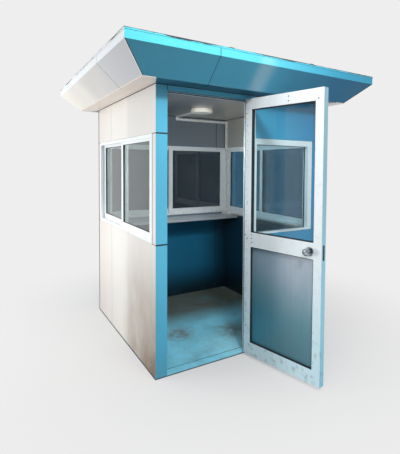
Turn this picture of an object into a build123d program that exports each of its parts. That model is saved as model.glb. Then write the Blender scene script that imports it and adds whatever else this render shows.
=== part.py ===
from build123d import *
import math
import os

os.makedirs("parts", exist_ok=True)

# Security guard booth: four panel walls between corner posts, a sliding window on three sides,
# a fixed window and an outward opening door in front, under a roof with flared, mitred eaves.
# Millimetres. +X right along the front, +Y from front to back, +Z up.
# The origin is the centre of the booth's base, on the ground.

# Shell
booth_width = 1660
booth_depth = 1660
wall_height = 2200
wall_thickness = 68
floor_thickness = 15
front_post_width = 92
back_post_width = 68
post_corner_radius = 3

# Joints between the cladding panels
joint_width = 5
joint_depth = 4
side_joint_from_front = 1170
lining_joint_from_corner = 137

# Windows
sill_height = 1010
head_height = 1840
frame_face = 27
frame_channel_cover = 10
frame_proud = 3
frame_lip = 6
frame_divider = 5
sash_thickness = 24
sash_play = 1
sash_lift = 4
sash_stile = 53
sash_meeting_stile = 46
sash_top_rail = 31
sash_bottom_rail = 58
glass_thickness = 5
glass_bite = 8
fixed_frame_face = 50
fixed_frame_sill = 15
fixed_bead_step = 12
fixed_bead_depth = 20

# Doorway and door leaf
mullion_width = 26
door_width = 738
door_gap = 6
header_height = 38
leaf_thickness = 52
leaf_stile = 68
leaf_top_rail = 88
leaf_bottom_rail = 107
mid_rail_height = 120
mid_rail_below_knob = 55
leaf_glass_thickness = 6
leaf_panel_thickness = 8
leaf_bite = 9
gasket_width = 5
gasket_setback = 3
gasket_depth = 8
stop_width = 12
stop_gap = 5
door_open_angle = 102.4

# Hinges
hinge_heights = (260, 1090, 1920)
hinge_length = 99
hinge_play = 0.3
knuckle_radius = 6
pin_radius = 2.5
pin_clearance = 0.3
pin_offset = 9
hinge_plate = 3
hinge_plate_start = 9
hinge_leaf_width = 30
hinge_jamb_width = 17
hinge_strap = 4

# Knob set and latch
knob_backset = 100
knob_height = 990
rose_radius = 33
rose_thickness = 8
rose_edge_radius = 3
knob_seat_gap = 0.3
knob_neck_radius = 11
knob_neck_length = 22
knob_head_radius = 26
knob_head_length = 32
knob_head_round = 9
knob_recess_radius = 13
knob_recess_depth = 2
button_radius = 6
button_proud = 2
key_plug_radius = 8
key_slot_width = 2
key_slot_height = 9
key_slot_depth = 6
spindle_radius = 5
spindle_clearance = 3
latch_plate_width = 25
latch_plate_length = 110
latch_plate_thickness = 3
latch_bolt_width = 13
latch_bolt_height = 28
latch_bolt_recess = 1
strike_plate_length = 80
strike_pocket_depth = 20

# Roof
panel_sheet = 4
soffit_width = 156
soffit_lap = 57
eaves_overhang = 334
fascia_bottom = 2370
fascia_height = 66
eaves_joint_from_corner = 350
mitre_inset = 60
roof_sheet_thickness = 3
drip_lip = 10
drip_thickness = 2
cover_strip_width = 40
cover_strip_height = 4
cover_strip_count = 2

# Inside
desk_depth = 300
desk_below_sill = 20
desk_thickness = 25
desk_edge_radius = 3
lamp_x = 70
lamp_y = 130
lamp_radius = 121
lamp_height = 35
lamp_base_height = 12
lamp_base_inset = 4
lamp_round = 14
trunking_width = 25
trunking_depth = 16
trunking_from_corner = 22
trunking_below_ceiling = 22
socket_width = 45
socket_length = 150
socket_height = 45
socket_edge_radius = 3

# Places that follow from the sizes above
half_width = booth_width / 2
half_depth = booth_depth / 2
door_left = front_post_width
door_right = door_left + door_width + 2 * door_gap
front_window_left = door_right + mullion_width
front_window_right = booth_width - front_post_width
header_bottom = wall_height - header_height
leaf_bottom = floor_thickness + door_gap
leaf_top = header_bottom - door_gap
leaf_left = door_left + door_gap
leaf_right = leaf_left + door_width
channel_inset = frame_face - frame_channel_cover
outer_channel = frame_lip - frame_proud
channel_depth = sash_thickness + 2 * sash_play
inner_channel = outer_channel + channel_depth + frame_divider
fascia_top = fascia_bottom + fascia_height
mid_rail_bottom = knob_height - mid_rail_below_knob
mid_rail_top = mid_rail_bottom + mid_rail_height
desk_top_height = sill_height - desk_below_sill
room_left = -half_width + wall_thickness
room_right = half_width - wall_thickness
room_front = -half_depth + wall_thickness
room_back = half_depth - wall_thickness

# Each wall is drawn in its own frame: u along the wall from left to right as seen from outside,
# v into the wall from its outer face, z up. These places set it on its side of the booth.
side_places = {
    "front": Location((-half_width, -half_depth, 0)),
    "right": Location((half_width, -half_depth, 0), (0, 0, 90)),
    "back": Location((half_width, half_depth, 0), (0, 0, 180)),
    "left": Location((-half_width, half_depth, 0), (0, 0, 270)),
}
side_lengths = {
    "front": booth_width,
    "right": booth_depth,
    "back": booth_width,
    "left": booth_depth,
}


def block(u0, u1, v0, v1, z0, z1):
    """Rectangular block between two opposite corners."""
    centre = Pos((u0 + u1) / 2, (v0 + v1) / 2, (z0 + z1) / 2)
    return centre * Box(u1 - u0, v1 - v0, z1 - z0)


def ring(u0, u1, v0, v1, z0, z1, side, bottom, top):
    """Rectangular frame standing in the wall, open through its thickness."""
    hole = block(u0 + side, u1 - side, v0 - 1, v1 + 1, z0 + bottom, z1 - top)
    return block(u0, u1, v0, v1, z0, z1) - hole


def save(name, *solids):
    """Write one node from one or more separate solids."""
    shape = solids[0] if len(solids) == 1 else Compound(children=list(solids))
    shape.label = name
    export_step(shape, "parts/" + name + ".step")


def on_side(side, shape):
    """Set a shape drawn in a wall's own frame on that side of the booth."""
    return side_places[side] * shape


# Corner posts


def corner_post(width):
    """Clad post at the left end of a wall: a folded outer corner and grooved panel joints."""
    post = block(0, width, 0, wall_thickness, 0, wall_height)
    corner = post.edges().filter_by(Axis.Z).sort_by(lambda edge: edge.center().X + edge.center().Y)[0]
    post = fillet(corner, post_corner_radius)
    for height in (sill_height, head_height):
        low = height - joint_width / 2
        high = height + joint_width / 2
        front_groove = block(-1, width + 1, -1, joint_depth, low, high)
        side_groove = block(-1, joint_depth, -1, wall_thickness + 1, low, high)
        post -= front_groove + side_groove
    return post


def jamb_block(start, end, width, length):
    """Block set into the latch side of the doorway, level with the latch of the closed leaf."""
    middle = leaf_thickness / 2
    return block(
        start, end, middle - width / 2, middle + width / 2,
        knob_height - length / 2, knob_height + length / 2,
    )


front_post = corner_post(front_post_width)
back_post = corner_post(back_post_width)
strike_plate = jamb_block(
    door_left - latch_plate_thickness, door_left, latch_plate_width, strike_plate_length,
)
strike_pocket = jamb_block(
    door_left - strike_pocket_depth, door_left + 1, latch_bolt_width, latch_bolt_height,
)
save("post_front_left", on_side("front", front_post - strike_plate - strike_pocket))
save("door_strike_plate", on_side("front", strike_plate - strike_pocket))
save("post_front_right", on_side("front", Pos(booth_width, 0, 0) * mirror(front_post, Plane.YZ)))
save("post_back_right", on_side("back", back_post))
save("post_back_left", on_side("back", Pos(booth_width, 0, 0) * mirror(back_post, Plane.YZ)))


# Wall panels below and above the windows


def wall_panel(u0, u1, z0, z1, outer_joints=(), lining_joints=()):
    """Panel wall between two posts, with the butt joints of its sheets cut as grooves."""
    wall = block(u0, u1, 0, wall_thickness, z0, z1)
    for u in outer_joints:
        wall -= block(u - joint_width / 2, u + joint_width / 2, -1, joint_depth, z0 - 1, z1 + 1)
    for u in lining_joints:
        inner = wall_thickness - joint_depth
        wall -= block(u - joint_width / 2, u + joint_width / 2, inner, wall_thickness + 1, z0 - 1, z1 + 1)
    return wall


side_joints = {
    "front": (),
    "right": (side_joint_from_front,),
    "back": (),
    "left": (booth_depth - side_joint_from_front,),
}
back_lining_joint = wall_thickness + lining_joint_from_corner
lining_joints = {"front": (), "right": (), "back": (back_lining_joint,), "left": ()}
wall_spans = {
    "front": (front_window_left, front_window_right),
    "right": (wall_thickness, booth_depth - wall_thickness),
    "back": (back_post_width, booth_width - back_post_width),
    "left": (wall_thickness, booth_depth - wall_thickness),
}
for side, (start, end) in wall_spans.items():
    lower = wall_panel(start, end, 0, sill_height, side_joints[side], lining_joints[side])
    upper = wall_panel(start, end, head_height, wall_height, side_joints[side], lining_joints[side])
    save(side + "_wall_lower", on_side(side, lower))
    save(side + "_wall_upper", on_side(side, upper))

save("door_mullion", on_side("front", block(door_right, front_window_left, 0, wall_thickness, 0, wall_height)))
save("door_header", on_side("front", block(door_left, door_right, 0, wall_thickness, header_bottom, wall_height)))


# Sliding windows


def window_frame(u0, u1):
    """Aluminium outer frame with two channels, one for each sash."""
    inner_face = wall_thickness
    frame = ring(u0, u1, -frame_proud, inner_face, sill_height, head_height, frame_face, frame_face, frame_face)
    for start in (outer_channel, inner_channel):
        frame -= block(
            u0 + channel_inset, u1 - channel_inset, start, start + channel_depth,
            sill_height + channel_inset, head_height - channel_inset,
        )
    return frame


def sash(u0, u1, v0, left_stile, right_stile):
    """One sliding sash: stiles and rails round a slot for the glass. Returns sash and pane."""
    z0 = sill_height + channel_inset
    z1 = head_height - channel_inset - sash_lift
    v1 = v0 + sash_thickness
    middle = (v0 + v1) / 2
    opening = (u0 + left_stile, u1 - right_stile, z0 + sash_bottom_rail, z1 - sash_top_rail)
    pane = block(
        opening[0] - glass_bite, opening[1] + glass_bite,
        middle - glass_thickness / 2, middle + glass_thickness / 2,
        opening[2] - glass_bite, opening[3] + glass_bite,
    )
    body = block(u0, u1, v0, v1, z0, z1)
    body -= block(opening[0], opening[1], v0 - 1, v1 + 1, opening[2], opening[3])
    return body - pane, pane


for side in ("left", "right", "back"):
    start, end = wall_spans[side]
    clear_start = start + channel_inset
    clear_end = end - channel_inset
    centre = (clear_start + clear_end) / 2
    overlap = sash_meeting_stile / 2
    inner_sash, inner_pane = sash(
        clear_start, centre + overlap, inner_channel + sash_play, sash_stile, sash_meeting_stile,
    )
    outer_sash, outer_pane = sash(
        centre - overlap, clear_end, outer_channel + sash_play, sash_meeting_stile, sash_stile,
    )
    save(side + "_window_frame", on_side(side, window_frame(start, end)))
    save(side + "_window_sashes", on_side(side, inner_sash), on_side(side, outer_sash))
    save(side + "_window_glass", on_side(side, inner_pane), on_side(side, outer_pane))


# Fixed front window


def fixed_window(u0, u1):
    """Frame with one pane, held by a bead from inside. Returns frame and pane."""
    middle = wall_thickness - fixed_bead_depth - glass_thickness / 2
    frame = ring(
        u0, u1, -frame_proud, wall_thickness, sill_height, head_height,
        fixed_frame_face, fixed_frame_sill, fixed_frame_face,
    )
    opening = (
        u0 + fixed_frame_face, u1 - fixed_frame_face,
        sill_height + fixed_frame_sill, head_height - fixed_frame_face,
    )
    pane = block(
        opening[0] - glass_bite, opening[1] + glass_bite,
        middle - glass_thickness / 2, middle + glass_thickness / 2,
        opening[2] - glass_bite, opening[3] + glass_bite,
    )
    bead_outline = block(
        opening[0] - fixed_bead_step, opening[1] + fixed_bead_step,
        wall_thickness - joint_depth, wall_thickness + 1,
        opening[2], opening[3] + fixed_bead_step,
    )
    return frame - pane - bead_outline, pane


front_frame, front_pane = fixed_window(front_window_left, front_window_right)
save("front_window_frame", on_side("front", front_frame))
save("front_window_glass", on_side("front", front_pane))


# Floor and threshold

save("floor_board", block(room_left, room_right, room_front, room_back, 0, floor_thickness))
save("door_sill", on_side("front", block(door_left, door_right, 0, wall_thickness, 0, floor_thickness)))


# Strips that the closed leaf stops against, on both jambs and under the header

stop_front = leaf_thickness + stop_gap
stop_left = block(door_left, door_left + stop_width, stop_front, wall_thickness, floor_thickness, header_bottom)
stop_right = block(door_right - stop_width, door_right, stop_front, wall_thickness, floor_thickness, header_bottom)
stop_top = block(
    door_left + stop_width, door_right - stop_width, stop_front, wall_thickness,
    header_bottom - stop_width, header_bottom,
)
save("door_stops", *[on_side("front", stop) for stop in (stop_left, stop_right, stop_top)])


# Door leaf, drawn closed in the front wall's frame and then swung open about its hinges

hinge_u = leaf_right + door_gap / 2
hinge_v = -pin_offset
leaf_middle = leaf_thickness / 2
glass_opening = (leaf_left + leaf_stile, leaf_right - leaf_stile, mid_rail_top, leaf_top - leaf_top_rail)
panel_opening = (leaf_left + leaf_stile, leaf_right - leaf_stile, leaf_bottom + leaf_bottom_rail, mid_rail_bottom)
knob_u = leaf_left + knob_backset


def swing(shape):
    """Turn a shape of the closed leaf about the hinge line to the open rest pose."""
    hinge_line = Axis((hinge_u, hinge_v, 0), (0, 0, 1))
    return on_side("front", shape.rotate(hinge_line, door_open_angle))


def leaf_infill(opening, thickness):
    """Pane or panel with its edges inside the leaf's slot."""
    return block(
        opening[0] - leaf_bite, opening[1] + leaf_bite,
        leaf_middle - thickness / 2, leaf_middle + thickness / 2,
        opening[2] - leaf_bite, opening[3] + leaf_bite,
    )


def gasket(opening, v0, v1):
    """Rubber strip round an opening, between the infill and the leaf's face."""
    return ring(opening[0], opening[1], v0, v1, opening[2], opening[3], gasket_width, gasket_width, gasket_width)


door_glass = leaf_infill(glass_opening, leaf_glass_thickness)
door_panel = leaf_infill(panel_opening, leaf_panel_thickness)
latch_plate = block(
    leaf_left, leaf_left + latch_plate_thickness,
    leaf_middle - latch_plate_width / 2, leaf_middle + latch_plate_width / 2,
    knob_height - latch_plate_length / 2, knob_height + latch_plate_length / 2,
)
latch_hole = block(
    leaf_left - 1, leaf_left + latch_plate_thickness,
    leaf_middle - latch_bolt_width / 2, leaf_middle + latch_bolt_width / 2,
    knob_height - latch_bolt_height / 2, knob_height + latch_bolt_height / 2,
)
latch_bolt = block(
    leaf_left + latch_bolt_recess, leaf_left + latch_plate_thickness,
    leaf_middle - latch_bolt_width / 2, leaf_middle + latch_bolt_width / 2,
    knob_height - latch_bolt_height / 2, knob_height + latch_bolt_height / 2,
)
spindle_hole = Pos(knob_u, leaf_middle, knob_height) * Rot(90, 0, 0) * Cylinder(
    spindle_radius + spindle_clearance, 4 * leaf_thickness
)

left_stile = block(leaf_left, leaf_left + leaf_stile, 0, leaf_thickness, leaf_bottom, leaf_top)
left_stile -= door_glass + door_panel + latch_plate
right_stile = block(leaf_right - leaf_stile, leaf_right, 0, leaf_thickness, leaf_bottom, leaf_top)
right_stile -= door_glass + door_panel
save("door_stiles", swing(left_stile), swing(right_stile))

top_rail = block(glass_opening[0], glass_opening[1], 0, leaf_thickness, glass_opening[3], leaf_top)
mid_rail = block(glass_opening[0], glass_opening[1], 0, leaf_thickness, mid_rail_bottom, mid_rail_top)
bottom_rail = block(glass_opening[0], glass_opening[1], 0, leaf_thickness, leaf_bottom, panel_opening[2])
save(
    "door_rails",
    swing(top_rail - door_glass),
    swing(mid_rail - door_glass - door_panel - spindle_hole),
    swing(bottom_rail - door_panel),
)
save("door_glass", swing(door_glass))
save("door_lower_panel", swing(door_panel))

# Outside a slim wedge lies against the pane, and inside a deep one fills the step to the leaf's face
infills = ((glass_opening, leaf_glass_thickness / 2), (panel_opening, leaf_panel_thickness / 2))
outer_gaskets = [
    gasket(opening, leaf_middle - gap - gasket_depth, leaf_middle - gap) for opening, gap in infills
]
inner_gaskets = [
    gasket(opening, leaf_middle + gap, leaf_thickness - gasket_setback) for opening, gap in infills
]
save("door_gaskets", *[swing(strip) for strip in outer_gaskets + inner_gaskets])
save("door_latch_plate", swing(latch_plate - latch_hole + latch_bolt))


# Knob set: a rose on each face of the leaf, and two turned knobs on one spindle


def rose():
    """Round plate with a softened rim and a hole for the spindle, standing along +Z."""
    plate = Pos(0, 0, rose_thickness / 2) * Cylinder(rose_radius, rose_thickness)
    plate = fillet(plate.faces().sort_by(Axis.Z)[-1].edges(), rose_edge_radius)
    return plate - Cylinder(spindle_radius + spindle_clearance, 4 * rose_thickness)


def knob_profile():
    """Turned profile of one knob: neck, rounded head and flat end, turned about Z."""
    neck_end = knob_seat_gap + knob_neck_length
    head_end = neck_end + knob_head_length
    outline = Polyline(
        (0, knob_seat_gap), (knob_neck_radius, knob_seat_gap), (knob_neck_radius, neck_end),
        (knob_head_radius, neck_end), (knob_head_radius, head_end), (0, head_end), close=True,
    )
    section = make_face(Plane.XZ * outline)
    head_corners = section.vertices().filter_by(lambda vertex: vertex.X > knob_head_radius - 1)
    section = fillet(head_corners, knob_head_round)
    return revolve(section, Axis.Z, 360)


knob_end = knob_seat_gap + knob_neck_length + knob_head_length


def key_knob():
    """Outer knob with a slotted key plug in the recess of its end."""
    plug = Pos(0, 0, knob_end - knob_recess_depth) * Cylinder(key_plug_radius, knob_recess_depth)
    slot = Pos(0, 0, knob_end) * Box(key_slot_width, key_slot_height, 2 * key_slot_depth)
    recess = Pos(0, 0, knob_end) * Cylinder(knob_recess_radius, 2 * knob_recess_depth)
    return knob_profile() - recess + plug - slot


def button_knob():
    """Inner knob with a locking button that stands out of the recess of its end."""
    button_length = 2 * knob_recess_depth + button_proud
    button = Pos(0, 0, knob_end + button_proud - button_length / 2) * Cylinder(button_radius, button_length)
    recess = Pos(0, 0, knob_end) * Cylinder(knob_recess_radius, 2 * knob_recess_depth)
    return knob_profile() - recess + button


to_outer_face = Pos(knob_u, 0, knob_height) * Rot(90, 0, 0)
to_inner_face = Pos(knob_u, leaf_thickness, knob_height) * Rot(-90, 0, 0)
save("door_roses", swing(to_outer_face * rose()), swing(to_inner_face * rose()))

above_rose = Pos(0, 0, rose_thickness)
spindle_length = leaf_thickness + 2 * (rose_thickness + knob_seat_gap) + 2
spindle = Pos(knob_u, leaf_middle, knob_height) * Rot(90, 0, 0) * Cylinder(spindle_radius, spindle_length)
outer_knob = to_outer_face * above_rose * key_knob()
inner_knob = to_inner_face * above_rose * button_knob()
save("door_knobs", swing(outer_knob + inner_knob + spindle))


# Butt hinges: two knuckles on the mullion, one between them on the leaf


def barrel(radius, z0, z1):
    """Round bar on the hinge line, for a knuckle, a pin or a bore."""
    return Pos(hinge_u, hinge_v, (z0 + z1) / 2) * Cylinder(radius, z1 - z0)


def hinge_part(direction, width, height, thirds):
    """Plate on the face of the leaf (-1) or mullion (+1), strapped to its own knuckles."""
    low = height - hinge_length / 2
    third = hinge_length / 3
    ends = sorted((hinge_u + direction * hinge_plate_start, hinge_u + direction * (hinge_plate_start + width)))
    reach = sorted((hinge_u, hinge_u + direction * hinge_plate_start))
    part = block(ends[0], ends[1], -hinge_plate, 0, low, low + hinge_length)
    for index in thirds:
        z0 = low + index * third + (hinge_play / 2 if index > 0 else 0)
        z1 = low + (index + 1) * third - (hinge_play / 2 if index < 2 else 0)
        part += block(reach[0], reach[1], -hinge_plate - hinge_strap / 2, -hinge_plate / 2, z0, z1)
        part += barrel(knuckle_radius, z0, z1)
    return part


def jamb_hinge(height):
    """Fixed half of a hinge: the outer two knuckles with the pin through them."""
    pin = barrel(pin_radius, height - hinge_length / 2, height + hinge_length / 2)
    return hinge_part(1, hinge_jamb_width, height, (0, 2)) + pin


def leaf_hinge(height):
    """Moving half of a hinge: the middle knuckle, bored to run on the pin."""
    bore = barrel(pin_radius + pin_clearance, height - hinge_length, height + hinge_length)
    return hinge_part(-1, hinge_leaf_width, height, (1,)) - bore


save("door_hinge_jamb_leaves", *[on_side("front", jamb_hinge(height)) for height in hinge_heights])
save("door_hinge_door_leaves", *[swing(leaf_hinge(height)) for height in hinge_heights])


# Roof: ceiling sheet, flat soffit, folded eaves sheets with mitred corners, and the sheet on top

save(
    "ceiling_panel",
    block(-half_width, half_width, -half_depth, half_depth, wall_height, wall_height + panel_sheet),
)


def joint_gap(u):
    """Open joint between two sheets, across the eaves at distance u along the wall."""
    reach = eaves_overhang + mitre_inset
    return block(u - joint_width / 2, u + joint_width / 2, -reach, reach, wall_height - 1, fascia_top + 1)


def soffit_strip(length, takes_corners):
    """Flat sheet under the eaves, cut slantwise at the booth's corners where two sheets meet."""
    outer = -soffit_width
    if takes_corners:
        ends = ((outer, outer), (length - outer, outer), (length - outer, -soffit_lap))
        outline = Polyline(*ends, (length, 0), (0, 0), (outer, -soffit_lap), close=True)
    else:
        outline = Polyline((-soffit_lap, outer), (length + soffit_lap, outer), (length, 0), (0, 0), close=True)
    return Pos(0, 0, wall_height) * extrude(make_face(outline), panel_sheet)


def eaves_sheet(length):
    """Sheet folded into the sloping flare and the upright fascia, mitred at both corners."""
    base = wall_height + panel_sheet
    run = eaves_overhang - soffit_width
    slope = math.atan2(fascia_bottom - base, run)
    flare_shift = panel_sheet / math.sin(slope)
    bend_drop = panel_sheet * math.tan((math.pi / 2 - slope) / 2)
    section = make_face(Plane.YZ * Polyline(
        (-soffit_width, base),
        (-eaves_overhang, fascia_bottom),
        (-eaves_overhang, fascia_top),
        (-eaves_overhang + panel_sheet, fascia_top),
        (-eaves_overhang + panel_sheet, fascia_bottom + bend_drop),
        (-soffit_width + flare_shift, base),
        close=True,
    ))
    sheet = Pos(-eaves_overhang, 0, 0) * extrude(section, length + 2 * eaves_overhang, dir=(1, 0, 0))
    plan = make_face(Polyline(
        (-eaves_overhang, -eaves_overhang),
        (length + eaves_overhang, -eaves_overhang),
        (length - mitre_inset, mitre_inset),
        (mitre_inset, mitre_inset),
        close=True,
    ))
    return sheet & extrude(plan, fascia_top + panel_sheet)


eaves_joints = {
    "front": eaves_joint_from_corner,
    "right": eaves_joint_from_corner,
    "back": booth_width - eaves_joint_from_corner,
    "left": booth_depth - eaves_joint_from_corner,
}
for side, length in side_lengths.items():
    gap = joint_gap(eaves_joints[side])
    strip = soffit_strip(length, side in ("left", "right")) - gap
    save(side + "_soffit", *[on_side(side, piece) for piece in strip.solids()])
    eaves = eaves_sheet(length) - gap
    save(side + "_eaves", *[on_side(side, piece) for piece in eaves.solids()])

roof_x = half_width + eaves_overhang + drip_thickness
roof_y = half_depth + eaves_overhang + drip_thickness
roof = block(-roof_x, roof_x, -roof_y, roof_y, fascia_top - drip_lip, fascia_top + roof_sheet_thickness)
roof -= block(
    -roof_x + drip_thickness, roof_x - drip_thickness,
    -roof_y + drip_thickness, roof_y - drip_thickness,
    fascia_top - drip_lip - 1, fascia_top,
)
roof_surface = fascia_top + roof_sheet_thickness
for index in range(cover_strip_count):
    x = -roof_x + 2 * roof_x * (index + 1) / (cover_strip_count + 1)
    roof += block(
        x - cover_strip_width / 2, x + cover_strip_width / 2, -roof_y, roof_y,
        roof_surface, roof_surface + cover_strip_height,
    )
save("roof_sheet", roof)


# Desk, lamp and wiring

desk = block(
    room_left, room_right, room_back - desk_depth, room_back,
    desk_top_height - desk_thickness, desk_top_height,
)
desk_front = desk.faces().sort_by(Axis.Y)[0]
desk = fillet(desk_front.edges().filter_by(Axis.X), desk_edge_radius)
save("desk_top", desk)

lamp_base = Pos(lamp_x, lamp_y, wall_height - lamp_base_height / 2) * Cylinder(
    lamp_radius - lamp_base_inset, lamp_base_height
)
diffuser_height = lamp_height - lamp_base_height
diffuser = Pos(lamp_x, lamp_y, wall_height - lamp_base_height - diffuser_height / 2) * Cylinder(
    lamp_radius, diffuser_height
)
diffuser = fillet(diffuser.faces().sort_by(Axis.Z)[0].edges(), lamp_round)
save("ceiling_lamp", lamp_base + diffuser)

trunk_left = lamp_x - trunking_width / 2
trunk_right = lamp_x + trunking_width / 2
trunk_top = wall_height - trunking_depth
lamp_run = block(trunk_left, trunk_right, lamp_y + lamp_radius, room_back, trunk_top, wall_height)
wall_run_top = wall_height - trunking_below_ceiling
wall_run_bottom = wall_run_top - trunking_width
step_down = block(
    trunk_left, trunk_right, room_back - trunking_depth, room_back, wall_run_bottom, wall_height,
)
wall_run = block(
    trunk_left, room_right, room_back - trunking_depth, room_back, wall_run_bottom, wall_run_top,
)
drop_back = room_back - trunking_from_corner
drop_front = drop_back - trunking_width
turn = block(
    room_right - trunking_depth, room_right, drop_front, room_back, wall_run_bottom, wall_run_top,
)
socket_top = desk_top_height + socket_height
drop = block(room_right - trunking_depth, room_right, drop_front, drop_back, socket_top, wall_run_top)
save("cable_trunking", lamp_run + step_down + wall_run + turn + drop)

socket = block(
    room_right - socket_width, room_right, room_back - socket_length, room_back,
    desk_top_height, socket_top,
)
socket = fillet(socket.faces().sort_by(Axis.Z)[-1].edges(), socket_edge_radius)
save("socket_box", socket)
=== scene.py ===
"""Finishes and small fittings of a one-person security guard booth, on a plain pale stage.

Every length is in metres in the booth's own frame: +X to the right along the front, +Y from front
to back, +Z up, with the origin at the centre of the base.
"""

import math

import bmesh
import bpy
import numpy as np
from bpy.props import FloatProperty, FloatVectorProperty, PointerProperty
from mathutils import Matrix, Vector


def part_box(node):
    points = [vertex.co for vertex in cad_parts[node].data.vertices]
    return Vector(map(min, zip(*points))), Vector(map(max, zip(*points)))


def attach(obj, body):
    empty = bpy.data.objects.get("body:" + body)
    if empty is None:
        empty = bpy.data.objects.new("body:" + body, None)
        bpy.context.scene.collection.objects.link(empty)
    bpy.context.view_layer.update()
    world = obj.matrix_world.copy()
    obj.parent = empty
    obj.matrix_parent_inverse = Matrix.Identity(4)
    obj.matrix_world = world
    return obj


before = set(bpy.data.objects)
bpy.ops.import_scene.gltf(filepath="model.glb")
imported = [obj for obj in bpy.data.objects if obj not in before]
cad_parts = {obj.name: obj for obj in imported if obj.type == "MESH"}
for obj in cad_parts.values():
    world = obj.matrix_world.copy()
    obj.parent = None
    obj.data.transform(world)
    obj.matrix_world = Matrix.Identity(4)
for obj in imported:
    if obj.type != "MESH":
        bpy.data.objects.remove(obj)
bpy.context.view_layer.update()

bl_info = {
    "name": "Guard Booth Finish",
    "version": (1, 0, 0),
    "blender": (4, 5, 0),
    "location": "View3D > Sidebar > Guard Booth",
    "description": "Cladding, glazing, sealant, screws and fittings of a guard booth",
    "category": "Add Mesh",
}

MM = 0.001


def linear(code):
    """Linear RGB of an sRGB hex colour, such as #4FB0D8."""
    values = np.array([int(code[i:i + 2], 16) for i in (1, 3, 5)]) / 255
    return tuple(np.where(values <= 0.04045, values / 12.92, ((values + 0.055) / 1.055) ** 2.4).tolist())


def rgba(colour, gain=1.0):
    """Four channels of a hex code or a linear colour, times gain. A socket stays as it is."""
    if isinstance(colour, bpy.types.NodeSocket):
        return colour
    values = linear(colour) if isinstance(colour, str) else tuple(colour)[:3]
    return (*(value * gain for value in values), 1.0)


# Sizes read from the frame

ceiling_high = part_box("ceiling_panel")[1]
post_low, post_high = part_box("post_front_left")
back_post_low, back_post_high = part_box("post_back_left")
window_low, window_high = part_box("back_window_frame")
front_window_low, front_window_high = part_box("front_window_frame")
sill_low, sill_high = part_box("door_sill")
soffit_low, soffit_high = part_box("front_soffit")
eaves_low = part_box("front_eaves")[0]
roof_low, roof_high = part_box("roof_sheet")
desk_low, desk_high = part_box("desk_top")
socket_low, socket_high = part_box("socket_box")
panel_low, panel_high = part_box("door_lower_panel")
stops_low, stops_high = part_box("door_stops")

HALF_WIDTH = ceiling_high.x
HALF_DEPTH = ceiling_high.y
WALL_TOP = post_high.z
WALL_THICKNESS = 68 * MM
SILL = window_low.z
HEAD = window_high.z
FRONT_POST = post_high.x - post_low.x
BACK_POST = back_post_high.x - back_post_low.x
FLOOR_TOP = sill_high.z
DOOR_LEFT = sill_low.x + HALF_WIDTH
DOOR_RIGHT = sill_high.x + HALF_WIDTH
SIDE_JOINT = 1170 * MM
LINING_JOINT = WALL_THICKNESS + 137 * MM
EAVES_JOINT = 350 * MM
JOINT_DEPTH = 4 * MM

# Section of the eaves, as distances out from the wall and heights
SOFFIT_REACH = -HALF_DEPTH - soffit_low.y
FASCIA_REACH = -HALF_DEPTH - eaves_low.y
SHEET = soffit_high.z - WALL_TOP
FASCIA_BOTTOM = 2370 * MM
FASCIA_TOP = roof_low.z
FLARE_RUN = FASCIA_REACH - SOFFIT_REACH
FLARE_RISE = FASCIA_BOTTOM - WALL_TOP - SHEET
FLARE_LENGTH = math.hypot(FLARE_RUN, FLARE_RISE)

# The door leaf's own frame: u along the closed leaf from the left post, v inward from its outer face
HINGE_U = 839 * MM
HINGE_V = -9 * MM
OPEN_ANGLE = math.radians(102.4)
LEAF_LEFT, LEAF_RIGHT = 98 * MM, 836 * MM
LEAF_THICKNESS = 52 * MM
KNOB_Z = 990 * MM
HINGE_HEIGHTS = (260 * MM, 1090 * MM, 1920 * MM)
HINGE_LENGTH = 99 * MM
HINGE_PLATE = 3 * MM

# Axes of a wall's own frame: u along it, v inward, z up
ALONG, INWARD, UP = (1, 0, 0), (0, 1, 0), (0, 0, 1)


def placing(origin, along_wall, inward):
    """4 by 4 matrix from a wall's own frame to the booth's frame."""
    matrix = np.eye(4)
    matrix[:3, 0] = along_wall
    matrix[:3, 1] = inward
    matrix[:3, 3] = origin
    return matrix


SIDES = {
    "front": placing((-HALF_WIDTH, -HALF_DEPTH, 0), (1, 0, 0), (0, 1, 0)),
    "right": placing((HALF_WIDTH, -HALF_DEPTH, 0), (0, 1, 0), (-1, 0, 0)),
    "back": placing((HALF_WIDTH, HALF_DEPTH, 0), (-1, 0, 0), (0, -1, 0)),
    "left": placing((-HALF_WIDTH, HALF_DEPTH, 0), (0, -1, 0), (1, 0, 0)),
}
BLUE_SIDES, SILVER_SIDES = ("front", "back"), ("left", "right")
SLIDING = ("left", "right", "back")


def leaf_placing():
    """Matrix that takes a point of the closed leaf (u, v, z) to its open place in the booth's frame."""
    c, s = math.cos(OPEN_ANGLE), math.sin(OPEN_ANGLE)
    turn = np.eye(4)
    turn[:2, :2] = ((c, -s), (s, c))
    turn[:2, 3] = np.array((HINGE_U, HINGE_V)) - turn[:2, :2] @ np.array((HINGE_U, HINGE_V))
    return SIDES["front"] @ turn


LEAF = leaf_placing()
BOOTH = np.eye(4)

# Panes of a sliding window in its wall's frame: u from, u to, outer face of the sash, inner face
SASH_OPENINGS = ((138 * MM, 807 * MM, 35 * MM, 59 * MM), (853 * MM, 1522 * MM, 4 * MM, 28 * MM))
SASH_OPENING_LOW, SASH_OPENING_HIGH = SILL + 75 * MM, HEAD - 52 * MM
PANE_THICKNESS = 5 * MM
FIXED_OPENING = (918 * MM, 1518 * MM, SILL + 15 * MM, HEAD - 50 * MM)
FIXED_PANE = (43 * MM, 48 * MM)

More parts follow.
